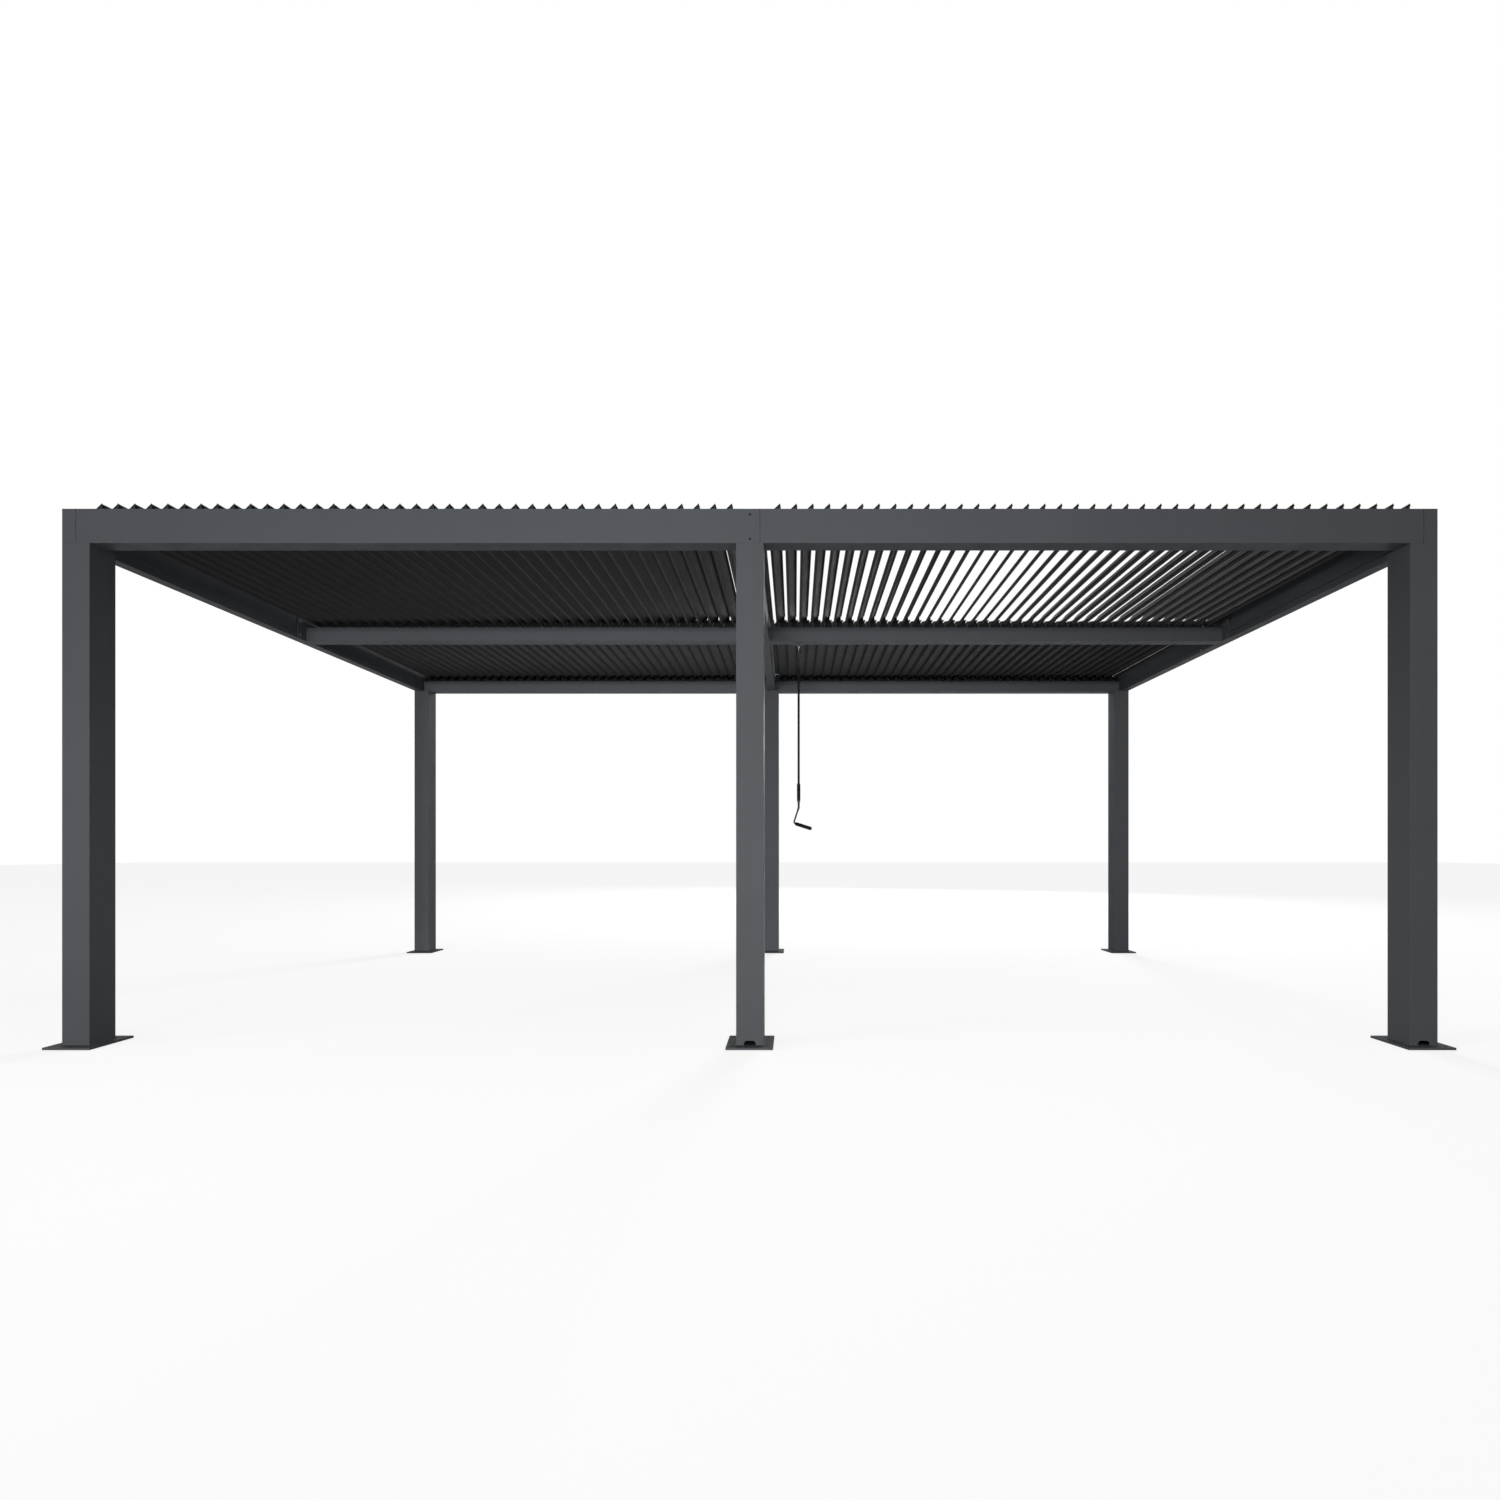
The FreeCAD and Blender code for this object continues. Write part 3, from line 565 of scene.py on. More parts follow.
class Workpiece:
    """One piece in the making: closed solids that are joined into one object."""

    def __init__(self, name: str) -> None:
        """Start an empty piece with the object's name."""
        self.name = name
        self.mesh = bmesh.new()

    def _bridge(self, rings: Sequence[Sequence[bmesh.types.BMVert]], capped: bool = False) -> None:
        """Join rings of equal length with faces.

        Args:
            rings: The rings in order.
            capped: Whether the first and the last ring are closed with a face.
        """
        for lower, upper in zip(rings, rings[1:]):
            for index in range(len(lower)):
                following = (index + 1) % len(lower)
                self.mesh.faces.new((lower[index], lower[following], upper[following],
                                     upper[index]))
        if capped:
            self.mesh.faces.new(list(reversed(rings[0])))
            self.mesh.faces.new(rings[-1])

    def prism(self, outline: Sequence[Pair], depth: float, place: Matrix) -> None:
        """Add a straight prism.

        Args:
            outline: Corners in the prism's own XY plane.
            depth: Length along its own Z axis.
            place: Where it stands.
        """
        self._bridge([[self.mesh.verts.new(place @ Vector((x, y, z))) for x, y in outline]
                      for z in (0.0, depth)], capped=True)

    def bar(self, outline: Sequence[Pair], start: float, length: float) -> None:
        """Add a bar that runs to the back from start, with an upright outline in X and Z."""
        self.prism(outline, length, section_at(0.0, start, 0.0))

    def turned(self, profile: Sequence[Pair], place: Matrix, segments: int = 32) -> None:
        """Add a turned solid.

        Args:
            profile: Pairs of radius and height. It starts and ends on the axis, or makes a
                ring when no radius is nil.
            place: Where it stands; it turns about its own Z axis.
            segments: Number of flats round it.
        """
        angles = [2 * math.pi * index / segments for index in range(segments)]
        rings = [[self.mesh.verts.new(place @ Vector(
            (radius * math.cos(angle), radius * math.sin(angle), height))) for angle in angles]
            for radius, height in profile if radius > 0]
        if all(radius > 0 for radius, _ in profile):
            self._bridge([*rings, rings[0]])
            return
        self._bridge(rings)
        for ring, (_, height) in ((rings[0], profile[0]), (rings[-1], profile[-1])):
            tip = self.mesh.verts.new(place @ Vector((0, 0, height)))
            for index in range(segments):
                self.mesh.faces.new((ring[index], ring[(index + 1) % segments], tip))

    def tube(self, path: Sequence[Vector], radius: float, side: Vector,
             segments: int = 20) -> None:
        """Add a round bar along a path that stays in one plane.

        Args:
            path: Points along its middle.
            radius: Radius of the bar.
            side: Direction across the plane of the path.
            segments: Number of flats round it.
        """
        rings = []
        for index, point in enumerate(path):
            before = path[max(index - 1, 0)]
            after = path[min(index + 1, len(path) - 1)]
            across = (after - before).normalized().cross(side)
            rings.append([self.mesh.verts.new(
                point + radius * (across * math.cos(angle) + side * math.sin(angle)))
                for angle in (2 * math.pi * step / segments for step in range(segments))])
        self._bridge(rings, capped=True)

    def done(self, shop: Workshop, slot: Slot = Slot.RAIL, body: Body = Body.PERGOLA,
             ease: float = 0.0) -> bpy.types.Object:
        """Turn the solids into an object that rides on a body.

        Args:
            shop: The workshop with the materials.
            slot: The material slot it takes its finish from.
            body: The body it rides on.
            ease: Width of its eased edges, or nil for none.

        Returns:
            The new object.
        """
        bmesh.ops.recalc_face_normals(self.mesh, faces=self.mesh.faces[:])
        for face in self.mesh.faces:
            face.smooth = True
        for edge in self.mesh.edges:
            edge.smooth = edge.calc_face_angle(0.0) < SHARP_ANGLE
        data = bpy.data.meshes.new(self.name)
        self.mesh.to_mesh(data)
        self.mesh.free()
        data.materials.append(shop.finishes.of(slot))
        piece = bpy.data.objects.new(self.name, data)
        bpy.context.scene.collection.objects.link(piece)
        if ease:
            ease_edges(piece, ease)
        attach(piece, body.value)
        LOG.info("%s: %d faces on %s", self.name, len(data.polygons), body.value)
        return piece


@dataclass(frozen=True)
class Workshop:
    """What the fittings are made from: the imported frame, the finishes and the blades."""

    frame: dict
    finishes: Finishes
    fields: Sequence[BladeField]

    def joint(self, name: str) -> tuple[Vector, Vector]:
        """Return a point on the axis of the named joint, and the axis."""
        joint = next(item for item in self.frame["joints"] if item["name"] == name)
        return Vector(joint["pos_m"]), Vector(joint["axis"]).normalized()


@dataclass(frozen=True)
class Fitting:
    """A sub-assembly of the pergola, made in the workshop."""

    shop: Workshop

    def build(self) -> None:
        """Build the pieces of the sub-assembly."""
        raise NotImplementedError


# The frame


@dataclass(frozen=True)
class FrameNodes(Fitting):
    """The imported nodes, which keep their meshes and get finishes and eased edges."""

    weld_distance: float = 0.00001
    flat_angle: float = math.radians(0.5)
    beam_ease: float = 0.0012
    blade_ease: float = 0.0005

    def build(self) -> None:
        """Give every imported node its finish, and ease the edges of beams and blades."""
        for part in self.shop.frame["record"]["subparts"]:
            slot = Slot(part["material_slot"])
            node = self.shop.frame["nodes"][part["node"]]
            finish = self.shop.finishes.of(slot)
            for socket in node.material_slots:
                socket.material = finish
            if slot in (Slot.FRAME, Slot.BLADE):
                weld = node.modifiers.new("joined_corners", "WELD")
                weld.merge_threshold = self.weld_distance
                if slot is Slot.FRAME:
                    whole = node.modifiers.new("whole_faces", "DECIMATE")
                    whole.decimate_type = "DISSOLVE"
                    whole.angle_limit = self.flat_angle
                ease_edges(node, self.blade_ease if slot is Slot.BLADE else self.beam_ease)
            LOG.info("%s: %s", part["node"], finish.name)


@dataclass(frozen=True)
class SocketScrew:
    """A low domed screw with a round socket, used all over the frame.

    The pairs of rim and dome are shares of the socket's or head's radius and of its height.
    """

    head_radius: float = 0.0058
    head_height: float = 0.0026
    socket_radius: float = 0.0026
    socket_depth: float = 0.0018
    rim: tuple[Pair, ...] = ((1.0, 0.96), (1.2, 1.0))
    dome: tuple[Pair, ...] = ((0.6, 0.93), (0.85, 0.62), (1.0, 0.2))

    def add_to(self, piece: Workpiece, place: Matrix) -> None:
        """Add one screw head to a piece.

        Args:
            piece: The piece.
            place: The plane that the head stands on.
        """
        floor = self.head_height - self.socket_depth
        piece.turned(((0.0, floor), (self.socket_radius, floor),
                      *stretched(self.rim, self.socket_radius, self.head_height),
                      *stretched(self.dome, self.head_radius, self.head_height),
                      (self.head_radius, -OVERLAP), (0.0, -OVERLAP)), place, segments=20)


@dataclass(frozen=True)
class JointScrews(Fitting):
    """The screws that hold the two lengths of each long beam on the middle posts."""

    from_foot: float = 0.018
    from_top: float = 0.024
    screw: SocketScrew = field(default_factory=SocketScrew)

    def build(self) -> None:
        """Build the screws on the front and on the back beam."""
        for row, facing in (("front", Facing.FRONT), ("back", Facing.BACK)):
            beam = Extent.of(f"{row}_beam_left")
            x = Extent.of(f"post_{row}_centre").middle.x
            face = beam.low.y if row == "front" else beam.high.y
            piece = Workpiece(f"joint_screws_{row}")
            for height in (beam.low.z + self.from_foot, beam.high.z - self.from_top):
                self.screw.add_to(piece, facing.at(x, face, height))
            piece.done(self.shop)


@dataclass(frozen=True)
class PaintedSeamShadow(Fitting):
    """Dark strips in the seams of the long beams, wider at the top of each: painted shadow in the
    gap between the lengths.
    """

    top_half: float = 0.0016
    foot_half: float = 0.0005
    depth: float = 0.001
    proud: float = 0.0002

    def build(self) -> None:
        """Build the three seams of the front beam and of the back beam."""
        for row in ("front", "back"):
            boxes = [Extent.of(name) for name in (f"corner_cap_{row}_left", f"{row}_beam_left",
                                                  f"{row}_beam_right", f"corner_cap_{row}_right")]
            start = (boxes[0].low.y - self.proud if row == "front"
                     else boxes[0].high.y - self.depth + self.proud)
            # Each strip is a dark piece set in a seam as painted shadow for the gap.
            piece = Workpiece(f"seam_sealant_{row}")
            for left, right in zip(boxes, boxes[1:]):
                middle = (left.high.x + right.low.x) / 2
                foot, top = left.low.z, left.high.z - self.proud
                piece.bar(((middle - self.foot_half, foot), (middle + self.foot_half, foot),
                           (middle + self.top_half, top), (middle - self.top_half, top)),
                          start, self.depth)
            piece.done(self.shop)


@dataclass(frozen=True)
class BracketScrews(Fitting):
    """The screws that hold the mid beams' end brackets, and a pair behind each outer one."""

    from_side: float = 0.022
    heights: tuple[float, ...] = (0.024, 0.112)
    pair_depth: float = 0.205
    pair_heights: tuple[float, ...] = (0.012, 0.056)
    screw: SocketScrew = field(default_factory=SocketScrew)

    def build(self) -> None:
        """Build the screws of all four brackets."""
        for column in ("left", "right"):
            for end in ("inner", "outer"):
                bracket = Extent.of(f"mid_bracket_{column}_{end}")
                looks_right = (column == "left") == (end == "outer")
                facing = Facing.RIGHT if looks_right else Facing.LEFT
                face = bracket.high.x if looks_right else bracket.low.x
                places = [(face, y, bracket.low.z + height) for height in self.heights
                          for y in (bracket.low.y + self.from_side,
                                    bracket.high.y - self.from_side)]
                if end == "outer":
                    beam = Extent.of(f"side_beam_{column}")
                    face = beam.high.x if looks_right else beam.low.x
                    places += [(face, self.pair_depth, beam.low.z + height)
                               for height in self.pair_heights]
                piece = Workpiece(f"bracket_screws_{column}_{end}")
                for place in places:
                    self.screw.add_to(piece, facing.at(*place))
                piece.done(self.shop, Slot.STEEL)


@dataclass(frozen=True)
class FootWelds(Fitting):
    """The weld round each post, left open where the drain notch is."""

    bead: float = 0.0035
    root: float = 0.0004
    notch_width: float = 0.056
    steps: int = 4

    def _bead_outline(self) -> list[Pair]:
        """Return the hollow-faced section of the bead; X runs away from the post."""
        angles = [math.pi / 2 * step / self.steps for step in range(self.steps + 1)]
        curve = [(self.bead * (1 - math.sin(angle)), self.bead * (1 - math.cos(angle)))
                 for angle in angles]
        return [(-self.root, -self.root), *curve, (-self.root, self.bead)]

    def build(self) -> None:
        """Build the welds of the six posts."""
        outline = self._bead_outline()
        for row, notch_side in (("front", Facing.FRONT), ("back", Facing.BACK)):
            for column in ("left", "centre", "right"):
                post = Extent.of(f"post_{row}_{column}")
                half = post.size.x / 2
                reach = half + self.bead / 2
                piece = Workpiece(f"foot_weld_{row}_{column}")
                for facing in (Facing.RIGHT, Facing.LEFT, Facing.BACK, Facing.FRONT):
                    outward = Vector(facing.value)
                    along = UP.cross(outward)
                    base = Vector((*post.middle.xy, post.low.z)) + outward * half
                    place = Matrix((outward, UP, along)).transposed().to_4x4()
                    starts, length = (-reach,), 2 * reach
                    if column != "left" and facing is notch_side:
                        starts = (-reach, self.notch_width / 2)
                        length = reach - self.notch_width / 2
                    for start in starts:
                        piece.prism(outline, length,
                                    Matrix.Translation(base + along * start) @ place)
                piece.done(self.shop, Slot.FRAME)


@dataclass(frozen=True)
class GutterStrainers(Fitting):
    """The leaf strainers in the gutters, over the posts that drain."""

    radius: float = 0.022
    height: float = 0.014
    bar: float = 0.0032
    bars: int = 4
    steps: int = 8
    gutter_wall: float = 0.003

    def build(self) -> None:
        """Build one strainer over each post with a drain notch."""
        ring = rectangle(self.radius - self.bar, self.radius, 0.0, self.bar)
        for row in ("front", "back"):
            beam = Extent.of(f"{row}_beam_right")
            rail = Extent.of(f"rail_{row}_right")
            y = (beam.low.y + rail.low.y if row == "front" else beam.high.y + rail.high.y) / 2
            for column in ("centre", "right"):
                foot = Vector((Extent.of(f"post_{row}_{column}").middle.x, y,
                               beam.low.z + self.gutter_wall))
                piece = Workpiece(f"gutter_strainer_{row}_{column}")
                piece.turned(ring, Facing.UP.at(*foot))
                for index in range(self.bars):
                    self._hoop(piece, foot, math.pi * index / self.bars)
                piece.done(self.shop)

    def _hoop(self, piece: Workpiece, foot: Vector, turn: float) -> None:
        """Add one hoop of the dome.

        Args:
            piece: The strainer.
            foot: The middle of its ring.
            turn: The hoop's angle about the upright axis.
        """
        reach = self.radius - self.bar / 2
        out = Vector((math.cos(turn), math.sin(turn), 0))
        angles = [math.pi * step / self.steps for step in range(self.steps + 1)]
        path = [foot + out * reach * math.cos(angle)
                + UP * (self.bar / 2 + self.height * math.sin(angle)) for angle in angles]
        piece.tube(path, self.bar / 2, UP.cross(out), segments=8)


@dataclass(frozen=True)
class RainSeals(Fitting):
    """The black rubber strips beside the centre and side beams, and the centre beam's stops."""

    height: float = 0.003
    drop: float = 0.0005
    bevel: float = 0.35
    beside_centre: float = 0.0045
    beside_side: float = 0.024
    lap: float = 0.002
    from_end: float = 0.004
    stop_across: Pair = (0.0305, 0.060)
    stop_height: float = 0.016
    stop_length: float = 0.0175
    stop_ease: float = 0.001

    def build(self) -> None:
        """Build two stops at each end of the centre beam, and the six strips."""
        centre = Extent.of("centre_beam")
        foot = centre.high.z - self.height - self.drop
        for row, start in (("front", centre.low.y - self.stop_length), ("back", centre.high.y)):
            stops = Workpiece(f"centre_stops_{row}")
            for sign in (-1.0, 1.0):
                low, high = sorted(sign * end for end in self.stop_across)
                stops.bar(rectangle(low, high, foot - self.stop_height, foot), start,
                          self.stop_length)
            stops.done(self.shop, ease=self.stop_ease)
        for column, sign in (("left", -1.0), ("right", 1.0)):
            side = Extent.of(f"side_beam_{column}")
            field_box = Extent.of(f"louvres_back_{column}")
            back = (field_box.low.y, field_box.high.y)
            reach = centre.high.x
            self._strip(f"centre_seal_{column}",
                        (sign * (reach - self.lap), sign * (reach + self.beside_centre)),
                        foot, back)
            inner = min(abs(side.low.x), abs(side.high.x))
            across = (sign * (inner - self.beside_side), sign * inner)
            foot_beside = side.high.z - self.height - self.drop
            self._strip(f"side_seal_back_{column}", across, foot_beside, back)
            self._strip(f"side_seal_front_{column}", across, foot_beside,
                        (centre.low.y, field_box.low.y))

    def _strip(self, name: str, across: Pair, foot: float, along: Pair) -> None:
        """Build one strip that runs from front to back.

        Args:
            name: The piece's name.
            across: Where it starts and ends along X, in any order.
            foot: Height of its underside.
            along: Where the room for it starts and ends along Y.
        """
        low, high = sorted(across)
        lip = self.height * self.bevel
        top = foot + self.height
        start = along[0] + self.from_end
        piece = Workpiece(name)
        piece.bar(((low, foot), (high, foot), (high, top - lip), (high - lip, top),
                   (low + lip, top), (low, top - lip)), start, along[1] - self.from_end - start)
        piece.done(self.shop)


@dataclass(frozen=True)
class GrooveInlays(Fitting):
    """The black rubber inlay in the groove along the inner face of each side beam."""

    above_underside: float = 0.0353
    height: float = 0.0034
    depth: float = 0.0014
    recess: float = 0.0003
    from_end: float = 0.006
    ease: float = 0.0002

    def build(self) -> None:
        """Build an inlay for each side beam."""
        for column, sign in (("left", -1.0), ("right", 1.0)):
            side = Extent.of(f"side_beam_{column}")
            inner = min(abs(side.low.x), abs(side.high.x))
            low, high = sorted((sign * (inner + self.recess), sign * (inner + self.depth)))
            foot = side.low.z + self.above_underside
            start = side.low.y + self.from_end
            piece = Workpiece(f"groove_inlay_{column}")
            piece.bar(rectangle(low, high, foot, foot + self.height), start,
                      side.high.y - self.from_end - start)
            piece.done(self.shop, ease=self.ease)


# Louvres


@dataclass(frozen=True)
class BladeField:
    """One field of blades: where its pivots are and how far it is open."""

    name: str
    tilt: float
    pitch: float = 0.0725
    lip: Pair = (-0.0435, 0.0)
    gutter: Pair = (-0.041, -0.016)
    hook: Pair = (0.037, -0.008)
    crest: Pair = (0.042, 0.002)

    def turn(self, point: Pair) -> Pair:
        """Return a point of the flat blade section after the field's tilt."""
        cosine, sine = math.cos(self.tilt), math.sin(self.tilt)
        return point[0] * cosine - point[1] * sine, point[0] * sine + point[1] * cosine

    def place(self, pivot: Vector, y: float) -> Matrix:
        """Return the plane of a blade's section at y; its Z axis runs to the back."""
        lean = Matrix.Rotation(-self.tilt, 4, "Y")
        return Matrix.Translation((pivot.x, y, pivot.z)) @ lean @ section_at(0.0, 0.0, 0.0)

    def pivots(self) -> list[Vector]:
        """Find the pivot of every blade.

        Returns:
            The pivots from left to right, at the field's front end.
        """
        box = Extent.of(self.name)
        corners = [self.turn(point) for point in (self.lip, self.gutter, self.hook, self.crest)]
        first = box.low.x - min(x for x, _ in corners)
        last = box.high.x - max(x for x, _ in corners)
        height = box.low.z - min(z for _, z in corners)
        count = round((last - first) / self.pitch) + 1
        step = (last - first) / (count - 1)
        return [Vector((first + step * index, box.low.y, height)) for index in range(count)]


@dataclass(frozen=True)
class PivotClips(Fitting):
    """The black clips that hold each blade on the tooth of a rail."""

    outline: tuple[Pair, ...] = ((-0.0075, -0.0095), (0.0075, -0.0095), (0.0105, -0.0055),
                                 (0.0105, 0.0), (-0.0105, 0.0), (-0.0105, -0.0055))
    button: tuple[Pair, ...] = ((-0.0055, 0.002), (0.0055, 0.002), (0.0042, 0.0036),
                                (-0.0042, 0.0036))
    button_inset: float = 0.2
    button_length: float = 0.6
    pin_radius: float = 0.0022
    pin_reach: float = 0.002
    pin_drop: float = 0.0048

    def build(self) -> None:
        """Build the clips at both ends of every field."""
        for blades in self.shop.fields:
            row, column = blades.name.split("_")[1:]
            outer = Extent.of(f"rail_{row}_{column}")
            middle = Extent.of(f"rail_middle_{column}")
            box = Extent.of(blades.name)
            inner = ((middle.low.y, box.high.y) if row == "front"
                     else (box.low.y, middle.high.y))
            for end, (start, stop) in (("outer", (outer.low.y, outer.high.y)), ("inner", inner)):
                piece = Workpiece(f"pivot_clips_{row}_{column}_{end}")
                for pivot in blades.pivots():
                    self._clip(piece, blades.place(pivot, start), stop - start)
                piece.done(self.shop)

    def _clip(self, piece: Workpiece, place: Matrix, depth: float) -> None:
        """Add one clip.

        Args:
            piece: The row of clips.
            place: The plane of the blade's section at the clip's front end.
            depth: The clip's length from front to back.
        """
        piece.prism(self.outline, depth, place)
        inset = Matrix.Translation((0, 0, depth * self.button_inset))
        piece.prism(self.button, depth * self.button_length, place @ inset)
        pin = Matrix.Translation((0, -self.pin_drop, -self.pin_reach))
        length = depth + 2 * self.pin_reach
        piece.turned(((0.0, 0.0), (self.pin_radius, 0.0), (self.pin_radius, length),
                      (0.0, length)), place @ pin, segments=10)


@dataclass(frozen=True)
class BladeCaps(Fitting):
    """The moulded rims on the outer ends of the blades.

    Each open blade also has two plates that hang from its crest: a pointed tooth at the
    outer end, and a longer plate at the mid beam.
    """

    thickness: float = 0.0016
    lap: float = 0.0003
    open_tilt: float = math.radians(30.0)
    tooth: tuple[Pair, ...] = ((0.0, 0.0), (0.0012, -0.004), (0.0012, -0.031), (-0.033, -0.031))
    inner_plate: tuple[Pair, ...] = ((0.0, 0.0), (-0.0249, -0.0339), (0.0180, -0.0870),
                                     (0.0180, -0.0690), (0.0012, -0.0290))
    outline: tuple[Pair, ...] = ((-0.0445, 0.0006), (-0.0418, -0.0175), (-0.0286, -0.0009),
                                 (0.0380, -0.0009), (0.0366, -0.0093), (0.0434, 0.0029),
                                 (-0.0305, 0.0029), (-0.0401, -0.0099))

    def build(self) -> None:
        """Build the caps of every field."""
        for blades in self.shop.fields:
            box = Extent.of(blades.name)
            in_front = "_front_" in blades.name
            start = box.low.y - self.thickness if in_front else box.high.y - self.lap
            x, z = blades.turn(blades.crest)
            piece = Workpiece(blades.name.replace("louvres", "blade_caps"))
            for pivot in blades.pivots():
                piece.prism(self.outline, self.thickness + self.lap, blades.place(pivot, start))
                if blades.tilt > self.open_tilt:
                    for outline, y in ((self.tooth, start), (self.inner_plate, box.high.y)):
                        piece.prism(outline, self.thickness,
                                    section_at(pivot.x + x, y, pivot.z + z))
            piece.done(self.shop)


# Gearbox and crank


@dataclass(frozen=True)
class GearboxHousing(Fitting):
    """The cover, ribs, collar and screws of the gearbox."""

    cover_thickness: float = 0.004
    cover_margin: float = 0.005
    corner: float = 0.006
    rib_width: float = 0.0025
    rib_height: float = 0.002
    rib_share: float = 0.6
    rib_corner: float = 0.45
    rib_count: int = 4
    collar_radius: float = 0.013
    collar_height: float = 0.005
    collar_root: float = 0.001
    collar_rim: tuple[Pair, ...] = ((1.0, 0.7), (0.9, 1.0), (0.0, 1.0))
    screw_inset: float = 0.011
    ease: float = 0.0006
    screw: SocketScrew = field(
        default_factory=lambda: SocketScrew(0.0034, 0.0018, 0.0016, 0.0011))

    def build(self) -> None:
        """Build the fittings of the gearbox."""
        shaft, _ = self.shop.joint("crank_turn")
        box = Extent.of("gearbox")
        width, length, height = box.size
        cover = Workpiece("gearbox_cover")
        cover.prism(rounded_outline(width - 2 * self.cover_margin,
                                    height - 2 * self.cover_margin, self.corner),
                    self.cover_thickness, Facing.BACK.at(box.middle.x, box.high.y, box.middle.z))
        cover.turned(((0.0, -self.collar_root), (self.collar_radius, -self.collar_root),
                      *stretched(self.collar_rim, self.collar_radius, self.collar_height)),
                     Facing.DOWN.at(shaft.x, shaft.y, box.low.z))
        rib = rounded_outline(self.rib_width, length * self.rib_share,
                              self.rib_width * self.rib_corner, 2)
        span = height - 4 * self.cover_margin
        for index in range(self.rib_count):
            z = box.middle.z + span * (index / (self.rib_count - 1) - 0.5)
            for facing, x in ((Facing.LEFT, box.low.x), (Facing.RIGHT, box.high.x)):
                place = facing.at(x, box.middle.y, z) @ Matrix.Translation((0, 0, -OVERLAP))
                cover.prism(rib, self.rib_height, place)
        cover.done(self.shop, Slot.GEARBOX, ease=self.ease)
        screws = Workpiece("gearbox_screws")
        for x in (box.low.x + self.screw_inset, box.high.x - self.screw_inset):
            for z in (box.low.z + self.screw_inset, box.high.z - self.screw_inset):
                self.screw.add_to(screws, Facing.BACK.at(x, box.high.y + self.cover_thickness, z))
        screws.done(self.shop, Slot.STEEL)


@dataclass(frozen=True)
class GripShape:
    """A moulded hand grip with a tapered neck, shallow ribs and a rounded end.

    Each pair is a share of the grip's radius and a height. The height is a share of the
    neck in the taper, a share of the pitch in a rib, and in metres at the end.
    """

    neck: float = 0.010
    ribs: int = 9
    ribs_from: float = 1.6
    ribs_room: float = 2.4
    taper: tuple[Pair, ...] = ((0.62, 0.0), (0.68, 0.15), (0.86, 0.6), (0.97, 0.9), (1.0, 1.1))
    rib: tuple[Pair, ...] = ((1.0, 0.0), (0.955, 0.12), (0.955, 0.28), (1.0, 0.4))
    end: tuple[Pair, ...] = ((1.0, -0.002), (0.94, -0.0005), (0.88, 0.0))

    def add_to(self, piece: Workpiece, bore: float, radius: float, length: float,
               place: Matrix) -> None:
        """Add the grip to a piece.

        Args:
            piece: The piece.
            bore: Radius of the hole through it.
            radius: Full radius of the grip.
            length: Length of the grip.
            place: The plane that its neck starts from.
        """
        pitch = (length - self.ribs_room * self.neck) / self.ribs
        points = [(bore, 0.0), *stretched(self.taper, radius, self.neck)]
        for index in range(self.ribs):
            start = self.neck * self.ribs_from + pitch * index
            points += stretched(self.rib, radius, pitch, start)
        points += [*stretched(self.end, radius, 1.0, length), (bore, length)]
        piece.turned(points, place, segments=40)


